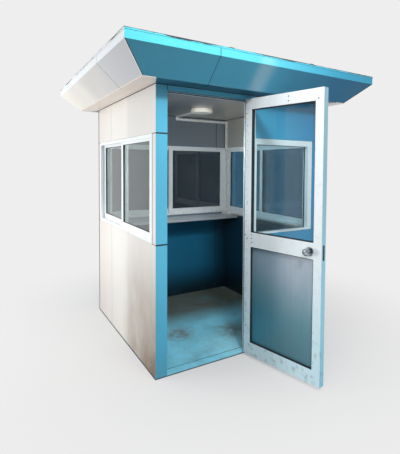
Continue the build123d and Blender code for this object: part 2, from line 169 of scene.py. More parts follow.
# Small sizes of the trim and the screws. The two spreads are in half widths of a joint
LINING_STRIP = 1.2 * MM
SMEAR_PROUD, SMEAR_ROOT = 1 * MM, 0.4 * MM
SMEAR_SPREAD, LINING_SPREAD = 2.2, 1.6
HEADER_BEAD_PROUD, FLOOR_BEAD_PROUD, BEAD_ROOT = 0.8 * MM, 0.6 * MM, 0.5 * MM
MITRE_PROUD, MITRE_ROOT = 0.8 * MM, 0.4 * MM
MITRE_SEAM, MITRE_FOLD = 5 * MM, 10 * MM
CORNER_INSET = 1.2 * MM
WEDGE_DEPTH = 6 * MM
SEAL_INSET, SEAL_RADIUS = 6 * MM, 3.5 * MM
LATCH_SCREW, STRIKE_SCREW = 45 * MM, 31 * MM
HINGE_SCREW_SCALE, LATCH_SCREW_SCALE = 0.9, 0.8
LEAF_HINGE_SCREW, JAMB_HINGE_SCREW = 815 * MM, 856.5 * MM
FRAME_SCREWS = (142 * MM, 189 * MM, 1471 * MM, 1518 * MM)
FRAME_SCREW_INSET = 14 * MM
SOCKET_CENTRES = (38 * MM, 112 * MM)
PLATE_PROUD, PIN_OFFSET = 2 * MM, 9.5 * MM

# Screws on the door leaf's faces, as (u, z): pairs in the top rail, the mid rail's end and the stile
LEAF_SCREWS = (
    (0.402, 2.128), (0.402, 2.094), (0.143, 2.083), (0.821, 2.038),
    (0.755, 1.038), (0.755, 1.006), (0.755, 0.973), (0.827, 1.029), (0.807, 0.998),
)

# Lamps: place, target, side of the square and spread in degrees
LAMPS = {
    "key": ((-1.6, -5.3, 5.1), (-0.4, -0.8, 1.4), 0.8, 180),
    "fascia": ((-0.55, -2.1, 3.4), (-0.3, -1.1, 2.3), 0.8, 180),
    "doorway": ((0.95, -5.6, 1.9), (-0.35, -0.3, 1.3), 0.7, 40),
    "cabin": ((-0.38, -0.72, 1.75), (0.1, 0.8, 1.6), 0.4, 180),
    "rear": ((-4.0, 3.0, 2.6), (-0.8, 0.3, 1.3), 1.0, 180),
    "side": ((-4.2, 0.9, 0.9), (-0.8, 0.2, 1.5), 1.0, 180),
}
STAGE_RADIUS = 7.0
FADE_SEEN, FADE_UNSEEN = 2.9, 4.8
SKY_LOW, SKY_HIGH = -0.25, 0.8

CAMERA_PLACE = (-1.8731, -3.4568, 1.5957)
CAMERA_YAW, CAMERA_PITCH, CAMERA_ROLL = math.radians(32.126), math.radians(-2.217), math.radians(0.435)
IMAGE_WIDTH, IMAGE_HEIGHT = 400, 454
SENSOR_WIDTH, VIEW_DEPTH = 36, 60
PRINCIPAL_X, PRINCIPAL_Y = 225.797, 181.497

SMOOTH = {"interpolation_type": "SMOOTHSTEP"}
SHARP_ANGLE = math.radians(40)
# Painted highlights: paler blue and paler silver for the upright face of the fascia
FASCIA_HIGHLIGHT_BLUE = "#58CCD6"
FASCIA_HIGHLIGHT_SILVER = "#F0F7FC"


# Settings


def colour_setting(name, description, code):
    """Colour setting with an sRGB hex default."""
    return FloatVectorProperty(
        name=name, description=description, subtype="COLOR", size=3, min=0, max=1, default=linear(code),
    )


def length_setting(name, description, default, low, high):
    """Length setting, with its default and limits given in millimetres."""
    return FloatProperty(
        name=name, description=description, unit="LENGTH", default=default * MM, min=low * MM, max=high * MM,
    )


def power_setting(name, description, default):
    """Power of a lamp in watts."""
    return FloatProperty(name=name, description=description, unit="POWER", default=default, min=0, max=5000)


class BoothColours(bpy.types.PropertyGroup):
    """Colours of the booth's finishes."""

    blue: colour_setting("Blue cladding", "Coil-coated blue of the front and back panels", "#5AB6D6")
    # Painted shade: a deeper blue laid over the right-hand part of the blue cladding.
    deep_blue: colour_setting("Deeper blue", "Blue of the sheets to the right", "#1C88BA")
    silver: colour_setting("Silver cladding", "Silver metallic of the side panels and eaves", "#E9E7E4")
    # Painted shade: the lining's blue is the cladding's blue painted dark
    lining: colour_setting("Lower lining", "Dark blue lining inside, up to the desk's top", "#1F6484")
    white: colour_setting("White aluminium", "Powder coat of the window and door frames", "#F0F5F7")
    floor: colour_setting("Floor board", "Pale blue floor sheet", "#7ECBE2")
    glass: colour_setting("Grey glass", "Tint of the left window's panes", "#B4C3C1")
    # Painted reflection: this blue stands for the blue surroundings seen in the right window's panes
    blue_glass: colour_setting("Blue glass", "Tint of the right window's panes", "#37627A")
    # Painted shade: this dark tint stands for the dark surroundings seen through the back window's panes
    smoked_glass: colour_setting("Smoked glass", "Dark tint of the back window's panes", "#2B3338")
    sealant: colour_setting("Sealant", "Weather sealant in the panel joints", "#26323A")


class BoothSizes(bpy.types.PropertyGroup):
    """Sizes of the sealant, gaskets and screws."""

    joint_width: length_setting("Joint width", "Width of the open joints between the panels", 5, 1, 5)
    joint_recess: length_setting("Sealant recess", "Depth of the sealant's face in its joint", 1.2, 0, 3)
    bead: length_setting("Corner bead", "Leg of the sealant bead in an inside corner", 5, 2, 10)
    gasket_width: length_setting("Gasket width", "Seen width of the rubber wedge round each pane", 3, 1, 8)
    screw_radius: length_setting("Screw head radius", "Radius of the pan head screws", 5, 2, 8)


class BoothStage(bpy.types.PropertyGroup):
    """Camera, lamps and background."""

    background: colour_setting("Background", "Colour seen behind the booth", "#EEEEEE")
    floor: colour_setting("Floor paper", "Colour of the floor round the booth", "#C8C8C8")
    focal_length: FloatProperty(
        name="Focal length", description="Camera focal length in millimetres",
        subtype="DISTANCE_CAMERA", default=30.10, min=10, max=200,
    )
    sky_strength: FloatProperty(
        name="Sky strength", description="Even light from overhead", default=0.9, min=0, max=3,
    )
    ground_strength: FloatProperty(
        name="Ground strength", description="Even light from below the horizon", default=0.15, min=0, max=3,
    )
    key_power: power_setting("Key lamp", "Main lamp, high in front on the left", 140)
    fascia_power: power_setting("Fascia lamp", "Lamp over the front edge of the roof", 25)
    doorway_power: power_setting("Doorway lamp", "Narrow lamp that shines in through the doorway", 1.8)
    cabin_power: power_setting("Cabin lamp", "Small lamp inside the top of the doorway", 8)
    rear_power: power_setting("Rear lamp", "Lamp behind on the left, along the side wall", 48)
    side_power: power_setting("Side lamp", "Low lamp on the left, also shining in through the window", 85)


# Node and mesh tools


def add_node(tree, kind, settings=None, inputs=None, stops=(), out=0):
    """Add a node, set its properties, inputs and colour stops, and give the output asked for.

    An input that is given as a socket is linked, and any other value is set.
    """
    node = tree.nodes.new(kind)
    for key, value in (settings or {}).items():
        setattr(node, key, value)
    for key, value in (inputs or {}).items():
        if isinstance(value, bpy.types.NodeSocket):
            tree.links.new(value, node.inputs[key])
        else:
            node.inputs[key].default_value = value
    elements = node.color_ramp.elements if stops else []
    while len(elements) < len(stops):
        elements.new(1.0)
    for element, (place, colour) in zip(elements, stops):
        element.position = place
        element.color = rgba(colour)
    return node.outputs[out] if len(node.outputs) else None


def new_tree(name):
    """Empty material and its node tree."""
    material = bpy.data.materials.new(name)
    material.use_nodes = True
    material.node_tree.nodes.clear()
    return material, material.node_tree


def tube_faces(rows, columns, closed=False):
    """Faces over rows rings of columns points: quads from ring to ring, and a cap on each open end."""
    a, b = np.meshgrid(np.arange(rows if closed else rows - 1), np.arange(columns), indexing="ij")
    a, b = a.ravel(), b.ravel()
    next_a, next_b = (a + 1) % rows, (b + 1) % columns
    quads = [a * columns + b, next_a * columns + b, next_a * columns + next_b, a * columns + next_b]
    first = np.arange(columns)
    last = first[::-1] + (rows - 1) * columns
    return np.stack(quads, 1).tolist() + ([] if closed else [first.tolist(), last.tolist()])


def swept(matrix, path, normal, profile, closed=False):
    """Carry a closed profile along a flat path, in the frame that matrix gives.

    Profile point (a, b) at path point P goes to P + a * side + b * normal, where side is the mitred
    normal of the path in its own plane: the sum of the two neighbouring sides s and t, divided by
    1 + s . t. Open ends are capped.
    """
    path = np.asarray(path, float)
    profile = np.asarray(profile, float)
    normal = np.asarray(normal, float)
    steps = np.roll(path, -1, 0) - path if closed else np.diff(path, axis=0)
    tangents = steps / np.linalg.norm(steps, axis=1, keepdims=True)
    sides = np.cross(tangents, normal)
    before = np.roll(sides, 1, 0) if closed else np.vstack([sides[:1], sides])
    after = sides if closed else np.vstack([sides, sides[-1:]])
    mitre = (before + after) / (1 + np.sum(before * after, axis=1, keepdims=True))
    points = path[:, None] + mitre[:, None] * profile[None, :, :1] + normal * profile[None, :, 1:]
    return moved((points.reshape(-1, 3), tube_faces(len(path), len(profile), closed)), matrix)


def turned(profile, segments):
    """Turn a profile of (radius, height) points about +Z: x = r cos t, y = r sin t, z = h."""
    profile = np.asarray(profile, float)
    t = np.linspace(0, 2 * math.pi, segments, endpoint=False)
    x = profile[:, :1] * np.cos(t)
    y = profile[:, :1] * np.sin(t)
    z = np.repeat(profile[:, 1:], segments, 1)
    return np.stack([x, y, z], 2).reshape(-1, 3), tube_faces(len(profile), segments)


def standing(point, outward):
    """Matrix that stands +Z along outward at a point."""
    z = np.asarray(outward, float) / np.linalg.norm(outward)
    x = np.cross((0, 0, 1) if abs(z[2]) < 0.9 else (1, 0, 0), z)
    x = x / np.linalg.norm(x)
    matrix = np.eye(4)
    matrix[:3] = np.stack([x, np.cross(z, x), z, point], 1)
    return matrix


def moved(shape, matrix):
    """A shape's points through a 4 by 4 matrix."""
    points, faces = shape
    return points @ matrix[:3, :3].T + matrix[:3, 3], faces


def joined(shapes):
    """Several shapes as one list of points and faces."""
    points, faces, count = [], [], 0
    for shape_points, shape_faces in shapes:
        points.append(shape_points)
        faces.extend([[index + count for index in face] for face in shape_faces])
        count += len(shape_points)
    return np.vstack(points), faces


def rectangle(a0, a1, b0, b1):
    """Corners of a rectangular profile."""
    return [(a0, b0), (a1, b0), (a1, b1), (a0, b1)]


def round_profile(radius, start=0.0, end=2 * math.pi, sides=10, whole=True):
    """Points on a circle at equal angles from start to end, without the last where it is whole."""
    t = np.linspace(start, end, sides, endpoint=not whole)
    return np.stack([radius * np.cos(t), radius * np.sin(t)], 1)


def make_piece(name, shapes, material, body="booth"):
    """Mesh object from closed shapes, with outward faces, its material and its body."""
    points, faces = joined(shapes)
    mesh = bpy.data.meshes.new(name)
    mesh.from_pydata(points.tolist(), [], faces)
    shell = bmesh.new()
    shell.from_mesh(mesh)
    bmesh.ops.recalc_face_normals(shell, faces=shell.faces[:])
    shell.to_mesh(mesh)
    shell.free()
    piece = bpy.data.objects.new(name, mesh)
    bpy.context.scene.collection.objects.link(piece)
    mesh.materials.append(material)
    mesh.shade_smooth()
    mesh.set_sharp_from_angle(angle=SHARP_ANGLE)
    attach(piece, body)


def named(sides, *endings):
    """Names of the like nodes on several sides."""
    return [f"{side}_{ending}" for side in sides for ending in endings]


def dress(material, *names):
    """Give CAD nodes a material through their objects' slots."""
    for name in names:
        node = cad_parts[name]
        if not node.material_slots:
            node.data.materials.append(material)
        for material_slot in node.material_slots:
            material_slot.link = "OBJECT"
            material_slot.material = material


# Patterns


def patches(tree, size, low=0.0, high=1.0, to_low=0.0, to_high=1.0, detail=3.0, shift=(0, 0, 0)):
    """Soft patches on Object coordinates, of a size in millimetres, the same or given for X, Y and Z.

    Noise from low to high is spread over to_low to to_high, and a socket may stand for either.
    """
    point = add_node(tree, "ShaderNodeTexCoord", out="Object")
    scale = [1 / (length * MM) for length in np.broadcast_to(size, 3).tolist()]
    placed = add_node(
        tree, "ShaderNodeMapping", inputs={"Vector": point, "Location": shift, "Scale": scale},
    )
    noise = add_node(
        tree, "ShaderNodeTexNoise",
        inputs={"Vector": placed, "Scale": 1.0, "Detail": detail, "Roughness": 0.55},
    )
    return add_node(
        tree, "ShaderNodeMapRange", SMOOTH,
        {"Value": noise, "From Min": low, "From Max": high, "To Min": to_low, "To Max": to_high},
    )


def along(tree, axis, start, end, to_start=0.0, to_end=1.0, on_leaf=False):
    """Smooth change from one place on an axis to another, in the booth's frame or the door leaf's."""
    point = add_node(tree, "ShaderNodeTexCoord", out="Object")
    if on_leaf:
        back = np.linalg.inv(LEAF)
        point = add_node(
            tree, "ShaderNodeMapping",
            inputs={"Vector": point, "Location": back[:3, 3].tolist(), "Rotation": (0, 0, -OPEN_ANGLE)},
        )
    place = add_node(tree, "ShaderNodeSeparateXYZ", inputs={"Vector": point}, out=axis)
    return add_node(
        tree, "ShaderNodeMapRange", SMOOTH,
        {"Value": place, "From Min": start, "From Max": end, "To Min": to_start, "To Max": to_end},
    )


def near(tree, centre, inner, outer, cover):
    """Smooth fall with the distance from a point, from cover at inner metres to nothing at outer."""
    point = add_node(tree, "ShaderNodeTexCoord", out="Object")
    distance = add_node(
        tree, "ShaderNodeVectorMath", {"operation": "DISTANCE"}, {0: point, 1: centre}, out="Value",
    )
    return add_node(
        tree, "ShaderNodeMapRange", SMOOTH,
        {"Value": distance, "From Min": inner, "From Max": outer, "To Min": cover, "To Max": 0.0},
    )


def beyond(tree, limit, axes="XY"):
    """1 where the point lies further than limit from the booth's middle along any of the axes."""
    point = add_node(tree, "ShaderNodeTexCoord", out="Object")
    distance = add_node(tree, "ShaderNodeVectorMath", {"operation": "ABSOLUTE"}, {0: point})
    reach = add_node(tree, "ShaderNodeSeparateXYZ", inputs={"Vector": distance}, out=axes[0])
    for axis in axes[1:]:
        other = add_node(tree, "ShaderNodeSeparateXYZ", inputs={"Vector": distance}, out=axis)
        reach = add_node(tree, "ShaderNodeMath", {"operation": "MAXIMUM"}, {0: reach, 1: other})
    return add_node(tree, "ShaderNodeMath", {"operation": "GREATER_THAN"}, {0: reach, 1: limit})


def layered(tree, ground, *coats):
    """Lay coats over a ground colour, each given as how much of it covers and its colour."""
    colour = rgba(ground)
    for cover, coat in coats:
        inputs = {0: cover, 6: colour, 7: rgba(coat)}
        colour = add_node(tree, "ShaderNodeMix", {"data_type": "RGBA"}, inputs, out=2)
    return colour


def finish(material, colour, roughness, metallic, height=None, depth=0.0, **constants):
    """End a material in one Principled shader. The height is bump, its depth a real one in metres."""
    tree = material.node_tree
    inputs = {"Base Color": colour, "Roughness": roughness, "Metallic": metallic}
    inputs.update({key.replace("_", " "): value for key, value in constants.items()})
    if height is not None:
        inputs["Normal"] = add_node(
            tree, "ShaderNodeBump", inputs={"Strength": 1.0, "Distance": depth, "Height": height},
        )
    shader = add_node(tree, "ShaderNodeBsdfPrincipled", inputs=inputs)
    add_node(tree, "ShaderNodeOutputMaterial", inputs={"Surface": shader})
    return material


# Finishes


def blue_tone(tree, colours):
    """Colour of the blue coat: broad mottling, rain streaks 25 mm wide and dust near the ground.

    The right-hand part is painted a deeper blue and the lower part darker: painted shade.
    """
    low = along(tree, "Z", 0.0, 0.35, 0.5, 0.0)
    return layered(
        tree, rgba(colours.blue, 0.95),
        (patches(tree, (450, 450, 620), 0.3, 0.7), rgba(colours.blue, 1.05)),
        # Painted shade: deeper blue towards the right
        (along(tree, "X", -0.35, 0.95, 0.0, 0.95), colours.deep_blue),
        # Painted shade: darker towards the bottom
        (along(tree, "Z", 0.95, 0.15, 0.0, 0.4), "#3F97BE"),
        (patches(tree, (25, 25, 700), 0.55, 0.80, 0.0, 0.12, 4.0), "#8FC9E2"),
        (patches(tree, (140, 140, 330), 0.2, 0.8, 0.0, low, 4.0), "#5F8C9A"),
    )


def silver_tone(tree, colours, rear_start=-0.19, rear_end=-0.12, gain=1.0):
    """Colour of the silver coat.

    The flake lies along the rolling direction. The rear part is painted lighter, with a soft upright
    edge: a painted pool of light. The back end is a little darker and pinker, and the front half
    browner near the ground: painted reflections.
    """
    rear = along(tree, "Y", rear_start, rear_end)
    ground_reflection_front = along(tree, "Z", 0.0, 1.25, 0.95, 0.0)
    ground_reflection = along(tree, "Y", -0.45, 0.05, ground_reflection_front, 0.06)
    low_reflection_height = along(tree, "Z", 0.0, 0.55, 0.9, 0.0)
    low_reflection = along(tree, "Y", -0.80, -0.35, low_reflection_height, 0.0)
    return layered(
        tree, rgba(colours.silver, 0.97 * gain),
        (patches(tree, (340, 340, 4000), 0.3, 0.7, detail=1.0), rgba(colours.silver, 1.03 * gain)),
        # Painted light: the rear part lighter, with a soft upright edge
        (rear, "#F6F4EE"),
        # Painted reflection: a little darker and pinker towards the back end
        (along(tree, "Y", 0.15, 0.80, 0.0, 0.6), "#E4DAD6"),
        # Painted reflection of the brown ground: browner on the front half near the ground, darkest low at
        # the front
        (patches(tree, (260, 260, 420), 0.05, 0.65, 0.0, ground_reflection, 4.0), "#A69680"),
        (patches(tree, (160, 160, 260), 0.10, 0.65, 0.0, low_reflection, 4.0), "#7A6450"),
    )


def bleaching(tree):
    """How far the fascia's upright face is painted paler, most on the left: painted highlight."""
    return along(tree, "X", -1.1, 0.9, 0.85, 0.25)


def on_fascia(tree, cover):
    """A coat's cover on the upright face of the eaves, and none of it below the fold."""
    return along(tree, "Z", FASCIA_BOTTOM - 2 * MM, FASCIA_BOTTOM + 1 * MM, 0.0, cover)


def smooth_sheet(material, colour, metallic):
    """Semi-gloss coil coat.

    The orange peel is 3 mm across on the real sheet and drawn 8 mm across, since less is under a pixel.
    """
    tree = material.node_tree
    roughness = patches(tree, (300, 300, 800), to_low=0.27, to_high=0.34)
    peel = patches(tree, 8, detail=1.0)
    return finish(
        material, colour, roughness, metallic, peel, 0.02 * MM, Coat_Weight=0.1, Specular_IOR_Level=0.3,
    )


def wavy_sheet(material, colour, metallic):
    """Coil-coated sheet, slightly wavy between its fixings, 400 mm apart, which reflections show."""
    tree = material.node_tree
    roughness = patches(tree, (300, 300, 1600), to_low=0.28, to_high=0.35)
    wave = patches(tree, (400, 400, 1200), detail=0.0)
    return finish(
        material, colour, roughness, metallic, wave, 1.2 * MM, Coat_Weight=0.2, Coat_Roughness=0.15,
    )


def sprayed_powder(material, colour):
    """Satin powder coat, baked on, with orange peel 5 mm across."""
    tree = material.node_tree
    roughness = patches(tree, 120, to_low=0.34, to_high=0.42)
    peel = patches(tree, 5, detail=1.0)
    return finish(
        material, colour, roughness, 0.0, peel, 0.03 * MM, Coat_Weight=0.15, Coat_Roughness=0.2,
    )


def coated_blue(colours, name, painted_shade=0.0, painted_reflection=0.0):
    """Aluminium composite panel with a blue coil coat: smooth, semi-gloss, a little uneven in tone.

    Painted shade is how far a face in shade is painted darker, in soft navy patches, and painted
    reflection how far a band about 170 mm wide is painted paler.
    """
    material, tree = new_tree(name)
    # Painted shade: soft navy patches darken a face in shade
    soot = patches(tree, 300, 0.2, 0.8, 0.8 * painted_shade, painted_shade, 4.0)
    # Painted reflection: a band about 170 mm wide painted paler
    band_end = along(tree, "X", -0.05, 0.07, painted_reflection, 0.0)
    band = along(tree, "X", -0.17, -0.08, 0.0, band_end)
    # Painted highlight: the fascia's upright face painted paler, most on the left
    upright = on_fascia(tree, bleaching(tree))
    tone = layered(
        tree, blue_tone(tree, colours), (band, "#A9D3E6"), (upright, FASCIA_HIGHLIGHT_BLUE), (soot, "#0C3852"),
    )
    return smooth_sheet(material, tone, 0.0)


def coated_silver(colours):
    """Aluminium composite panel with a silver metallic coil coat, painted greyer towards the front end:
    painted shade; and paler towards the back end, on the fascia's upright face and, warmer, on the flat
    soffit: painted light.
    """
    material, tree = new_tree("coil_coated_composite_silver")
    flat = along(tree, "Z", WALL_TOP + SHEET + 6 * MM, WALL_TOP + SHEET, 0.0, 0.8)
    tone = layered(
        tree, silver_tone(tree, colours, 0.05, 0.45, 0.88),
        # Painted shade: greyer towards the front end
        (along(tree, "Y", -0.9, -0.1, 0.55, 0.0), "#C4CAD6"),
        # Painted highlight: paler towards the back end
        (along(tree, "Y", 0.4, 1.1, 0.0, 0.9), "#FFFBF2"),
        # Painted light: paler on the fascia's upright face, and paler and warmer on the flat soffit
        (on_fascia(tree, 0.9), FASCIA_HIGHLIGHT_SILVER), (flat, "#F6E9DC"),
    )
    return wavy_sheet(material, tone, 0.3)


def ceiling_sheet():
    """Silver composite sheet of the ceiling, painted dark grey: painted shade; paler and warmer to the right:
    painted light. A little wavy.
    """
    material, tree = new_tree("coil_coated_composite_ceiling")
    tone = layered(
        # Painted shade: the silver painted dark grey all over
        tree, "#636B70",
        (patches(tree, (500, 900, 500), 0.3, 0.7), "#858B8F"),
        # Painted light: paler and warmer towards the right
        (along(tree, "X", -0.35, 0.55, 0.0, 0.95), "#E0DACE"),
    )
    roughness = patches(tree, (300, 900, 300), to_low=0.30, to_high=0.36)
    wave = patches(tree, (500, 900, 500), detail=0.0)
    return finish(material, tone, roughness, 0.6, wave, 1.2 * MM, Coat_Weight=0.2, Coat_Roughness=0.15)


def corner_post_coat(colours):
    """Corner post clad in both sheets: blue to the front and back, silver on the booth's sides."""
    material, tree = new_tree("corner_post_composite")
    side = beyond(tree, HALF_WIDTH - 0.2 * MM, "X")
    colour = layered(tree, blue_tone(tree, colours), (side, silver_tone(tree, colours)))
    metallic = add_node(tree, "ShaderNodeMath", {"operation": "MULTIPLY"}, {0: side, 1: 0.3})
    return smooth_sheet(material, colour, metallic)


def lined_wall(colours, name, cladding_tone, cladding_metallic, upper):
    """Wall panel with two faces: the cladding outside, and inside a lining of two sheets.

    The face is picked by how far the point lies from the booth's middle, and the lining's sheet by
    height: the blue one ends at the desk's top. The coats are those of the two composites, painted
    darker inside: painted shade. The blue lining is darker still towards the right-hand corner and
    near the floor: painted shade.
    """
    material, tree = new_tree(name)
    outside = beyond(tree, HALF_WIDTH - WALL_THICKNESS / 2)
    above = along(tree, "Z", desk_high.z, desk_high.z + 5 * MM)
    low = along(tree, "Z", 0.02, 0.42, 0.98, 0.0)
    lining = layered(
        tree, colours.lining,
        (patches(tree, (450, 450, 620), 0.3, 0.7), rgba(colours.lining, 1.15)),
        # Painted shade: darker towards the right-hand corner
        (along(tree, "X", 0.50, 0.78, 0.0, 0.9), rgba(colours.lining, 0.18)),
        # Painted shade: darker near the floor
        (patches(tree, (200, 200, 120), -0.1, 0.5, 0.0, low, 4.0), "#0B1A22"),
        (above, upper),
    )
    colour = layered(tree, lining, (outside, cladding_tone(tree, colours)))
    inside_metallic = add_node(tree, "ShaderNodeMath", {"operation": "MULTIPLY"}, {0: above, 1: 0.6})
    metallic = add_node(
        tree, "ShaderNodeMix", {"data_type": "FLOAT"}, {0: outside, 2: inside_metallic, 3: cladding_metallic},
    )
    return wavy_sheet(material, colour, metallic)


def powder_coat(colours):
    """Window sections: aluminium with white polyester powder coat, satin, with faint grey smudges."""
    material, tree = new_tree("powder_coated_aluminium_white")
    low = along(tree, "Z", SILL, SILL + 0.09, 0.5, 0.12)
    colour = layered(
        tree, colours.white,
        (patches(tree, 55, 0.50, 0.80, 0.0, low, 4.0), "#9FA9AE"),
        (patches(tree, 9, 0.67, 0.73, 0.0, 0.6, 2.0), "#3E464C"),
    )
    return sprayed_powder(material, colour)


def filmed_coat(colours):
    """Door sections: white powder coat, with the pale blue film still on the lower part and edge.

    Specks 5 mm across and sparse are mortar. Grey smudges 45 mm across come from hands and boots,
    and the bottom rail has most of them.
    """
    material, tree = new_tree("powder_coated_aluminium_filmed")
    film = along(tree, "Z", 1.30, 0.10, 0.0, 0.60)
    edge = along(tree, "X", LEAF_LEFT + 0.6 * MM, LEAF_LEFT + 0.4 * MM, 0.0, 0.9, on_leaf=True)
    edge_film = along(tree, "Z", 1.6, 0.3)
    smudge = along(tree, "Z", 0.15, 0.60, 0.60, 0.12)
    hinge_side = along(tree, "X", LEAF_RIGHT - 55 * MM, LEAF_RIGHT - 20 * MM, 0.0, 0.65, on_leaf=True)
    colour = layered(
        tree, colours.white,
        (film, "#B6E8F7"),
        (edge, layered(tree, "#74A5B8", (edge_film, "#94DDF6"))),
        (patches(tree, 45, 0.50, 0.75, 0.0, smudge, 5.0), "#7F8D8C"),
        (patches(tree, 8, 0.68, 0.76, 0.0, 0.55, 2.0), "#4A5258"),
        (patches(tree, (8, 8, 14), 0.61, 0.67, 0.0, hinge_side, 2.0), "#39434A"),
    )
    return sprayed_powder(material, colour)


def float_glass(name, tint, shadow_tint, dust, ior=1.52):
    """Float glass, cast flat on molten tin: clear with a tint, and a film of dust in soft patches.

    Light from the lamps passes it tinted, as through clear film. The door's and the front window's
    panes mirror less than bare glass does, so theirs is a lower IOR.
    """
    material, tree = new_tree(name)
    film = patches(tree, (140, 140, 220), 0.40, 0.85, 0.0, dust, 5.0)
    colour = layered(tree, tint, (film, "#C9D2D6"))
    glass = add_node(
        tree, "ShaderNodeBsdfPrincipled",
        inputs={"Base Color": colour, "Roughness": 0.01, "IOR": ior, "Transmission Weight": 1.0},
    )
    passed = add_node(tree, "ShaderNodeBsdfTransparent", inputs={"Color": rgba(shadow_tint)})
    shadow = add_node(tree, "ShaderNodeLightPath", out="Is Shadow Ray")
    both = add_node(tree, "ShaderNodeMixShader", inputs={0: shadow, 1: glass, 2: passed})
    add_node(tree, "ShaderNodeOutputMaterial", inputs={"Surface": both})
    return material


def floor_sheet(colours):
    """Blue coated floor board, worn dull, with dried mud trodden over it in patches.

    Patches are 200 to 300 mm across, as boots leave them, and grit 5 mm across lies between. The
    back of the floor, under the desk, is painted darker and browner: painted shade, with some dirt.
    """
    material, tree = new_tree("coated_floor_board_blue")
    mud_place = (4.2, 1.7, 0)
    under_desk = along(tree, "Y", -0.22, 0.30, 0.0, 0.95)
    trodden = near(tree, (-0.36, -0.24, FLOOR_TOP), 0.02, 0.20, 0.9)
    trodden_right = near(tree, (0.13, -0.43, FLOOR_TOP), 0.03, 0.26, 0.75)
    colour = layered(
        tree, rgba(colours.floor, 0.98),
        (patches(tree, 200, 0.3, 0.7, detail=4.0), rgba(colours.floor, 1.22)),
        # Painted light: a paler patch where light falls in through the doorway
        (near(tree, (-0.05, -0.66, FLOOR_TOP), 0.05, 0.38, 0.55), "#A9EBFA"),
        (patches(tree, 320, 0.45, 0.80, 0.0, 0.5, 5.0, mud_place), "#6C8087"),
        # Painted shade under the desk, with some dirt
        (patches(tree, 300, -0.15, 0.50, 0.0, under_desk, 4.0), "#5A5A4C"),
        (patches(tree, 60, 0.20, 0.60, 0.0, trodden, 5.0), "#776F66"),
        (patches(tree, 70, 0.20, 0.60, 0.0, trodden_right, 5.0), "#6B6055"),
        (patches(tree, 28, 0.50, 0.80, 0.0, 0.35, 4.0), "#7A8F94"),
        (patches(tree, 5, 0.60, 0.75, 0.0, 0.3), "#6E6A5F"),
    )
    roughness = patches(tree, 320, 0.50, 0.70, 0.34, 0.60, 5.0, mud_place)
    return finish(material, colour, roughness, 0.0, patches(tree, 11, detail=4.0), 0.2 * MM)


def desk_laminate():
    """Grey composite sheet over board for the desk: satin, with fine scratches along it."""
    material, tree = new_tree("composite_sheet_desk_grey")
    colour = layered(
        tree, "#A9B3BB",
        (patches(tree, (160, 70, 70), 0.3, 0.7), "#BDC6CD"),
        (patches(tree, (80, 3, 20), 0.62, 0.80, 0.0, 0.35), "#C3CBD1"),
    )
    return finish(material, colour, patches(tree, (300, 200, 300), to_low=0.28, to_high=0.38), 0.3)


def moulded_plastic(name, light, dark):
    """Injection moulded ABS: satin, slightly yellowed where it is older."""
    material, tree = new_tree(name)
    colour = layered(tree, light, (patches(tree, 45, 0.3, 0.8, detail=4.0), dark))
    return finish(material, colour, 0.36, 0.0, patches(tree, 2, detail=1.0), 0.03 * MM)


def roof_steel(colours):
    """Hot-dip galvanised sheet on the roof, with its folded edges painted to match the eaves.

    Spangle 12.5 mm across, dulled by weather and soot. The edge is blue in front and behind and
    silver at the sides, painted paler as the fascia is: painted highlight. A bead of black mastic
    runs along its top, thick in places.
    """
    material, tree = new_tree("galvanised_sheet_weathered")
    rim = HALF_WIDTH + FASCIA_REACH + 1 * MM
    point = add_node(tree, "ShaderNodeTexCoord", out="Object")
    spangle = add_node(
        tree, "ShaderNodeTexVoronoi", inputs={"Vector": point, "Scale": 1 / (12.5 * MM)}, out="Color",
    )
    soot = patches(tree, 250, 0.42, 0.72, 0.0, 0.45, 5.0)
    # Painted highlight: the edge painted paler like the fascia, most on the left
    edge_paint = layered(
        tree, colours.blue, (bleaching(tree), FASCIA_HIGHLIGHT_BLUE), (beyond(tree, rim, "X"), FASCIA_HIGHLIGHT_SILVER),
    )
    edge = beyond(tree, rim)
    mastic_line = patches(tree, 330, 0.35, 0.70, roof_high.z - 5 * MM, roof_high.z - 16 * MM)
    height = add_node(tree, "ShaderNodeSeparateXYZ", inputs={"Vector": point}, out="Z")
    mastic = add_node(tree, "ShaderNodeMath", {"operation": "GREATER_THAN"}, {0: height, 1: mastic_line})
    masked = add_node(tree, "ShaderNodeMath", {"operation": "MULTIPLY"}, {0: mastic, 1: edge})
    colour = layered(
        tree, "#6F7880", (spangle, "#A3ACB3"), (soot, "#4B5154"), (edge, edge_paint), (masked, "#3A4448"),
    )
    metallic = add_node(tree, "ShaderNodeMapRange", inputs={"Value": edge, "To Min": 0.8, "To Max": 0.1})
    return finish(material, colour, patches(tree, 250, 0.42, 0.72, 0.36, 0.60, 5.0), metallic)


def extruded_rubber():
    """Extruded EPDM gasket: near black, matt, with a greyish bloom."""
    material, tree = new_tree("epdm_rubber_extruded")
    bloom = patches(tree, 17, 0.45, 0.80, 0.0, 0.4, 4.0)
    return finish(material, layered(tree, "#1B2226", (bloom, "#4A5154")), 0.62, 0.0)


def gunned_sealant(name, colour, worn):
    """Silicone sealant run into a joint by gun: rubbery, slightly ridged by the nozzle."""
    material, tree = new_tree(name)
    tone = layered(tree, colour, (patches(tree, 40, 0.4, 0.8, 0.0, 0.5, 4.0), worn))
    return finish(material, tone, 0.48, 0.0, patches(tree, 6, detail=2.0), 0.2 * MM)


def plated_chrome():
    """Chrome plate on turned brass: mirror bright, with hairlines, and dark patches that stand for dark
    surroundings mirrored in it: painted reflection.
    """
    material, tree = new_tree("chrome_plate_turned")
    # Painted reflection: dark patches 20 mm across
    colour = layered(tree, "#D2D9DC", (patches(tree, 20, 0.32, 0.66), "#5A666D"))
    return finish(material, colour, patches(tree, (9, 9, 2), 0.4, 0.8, 0.05, 0.14), 1.0)


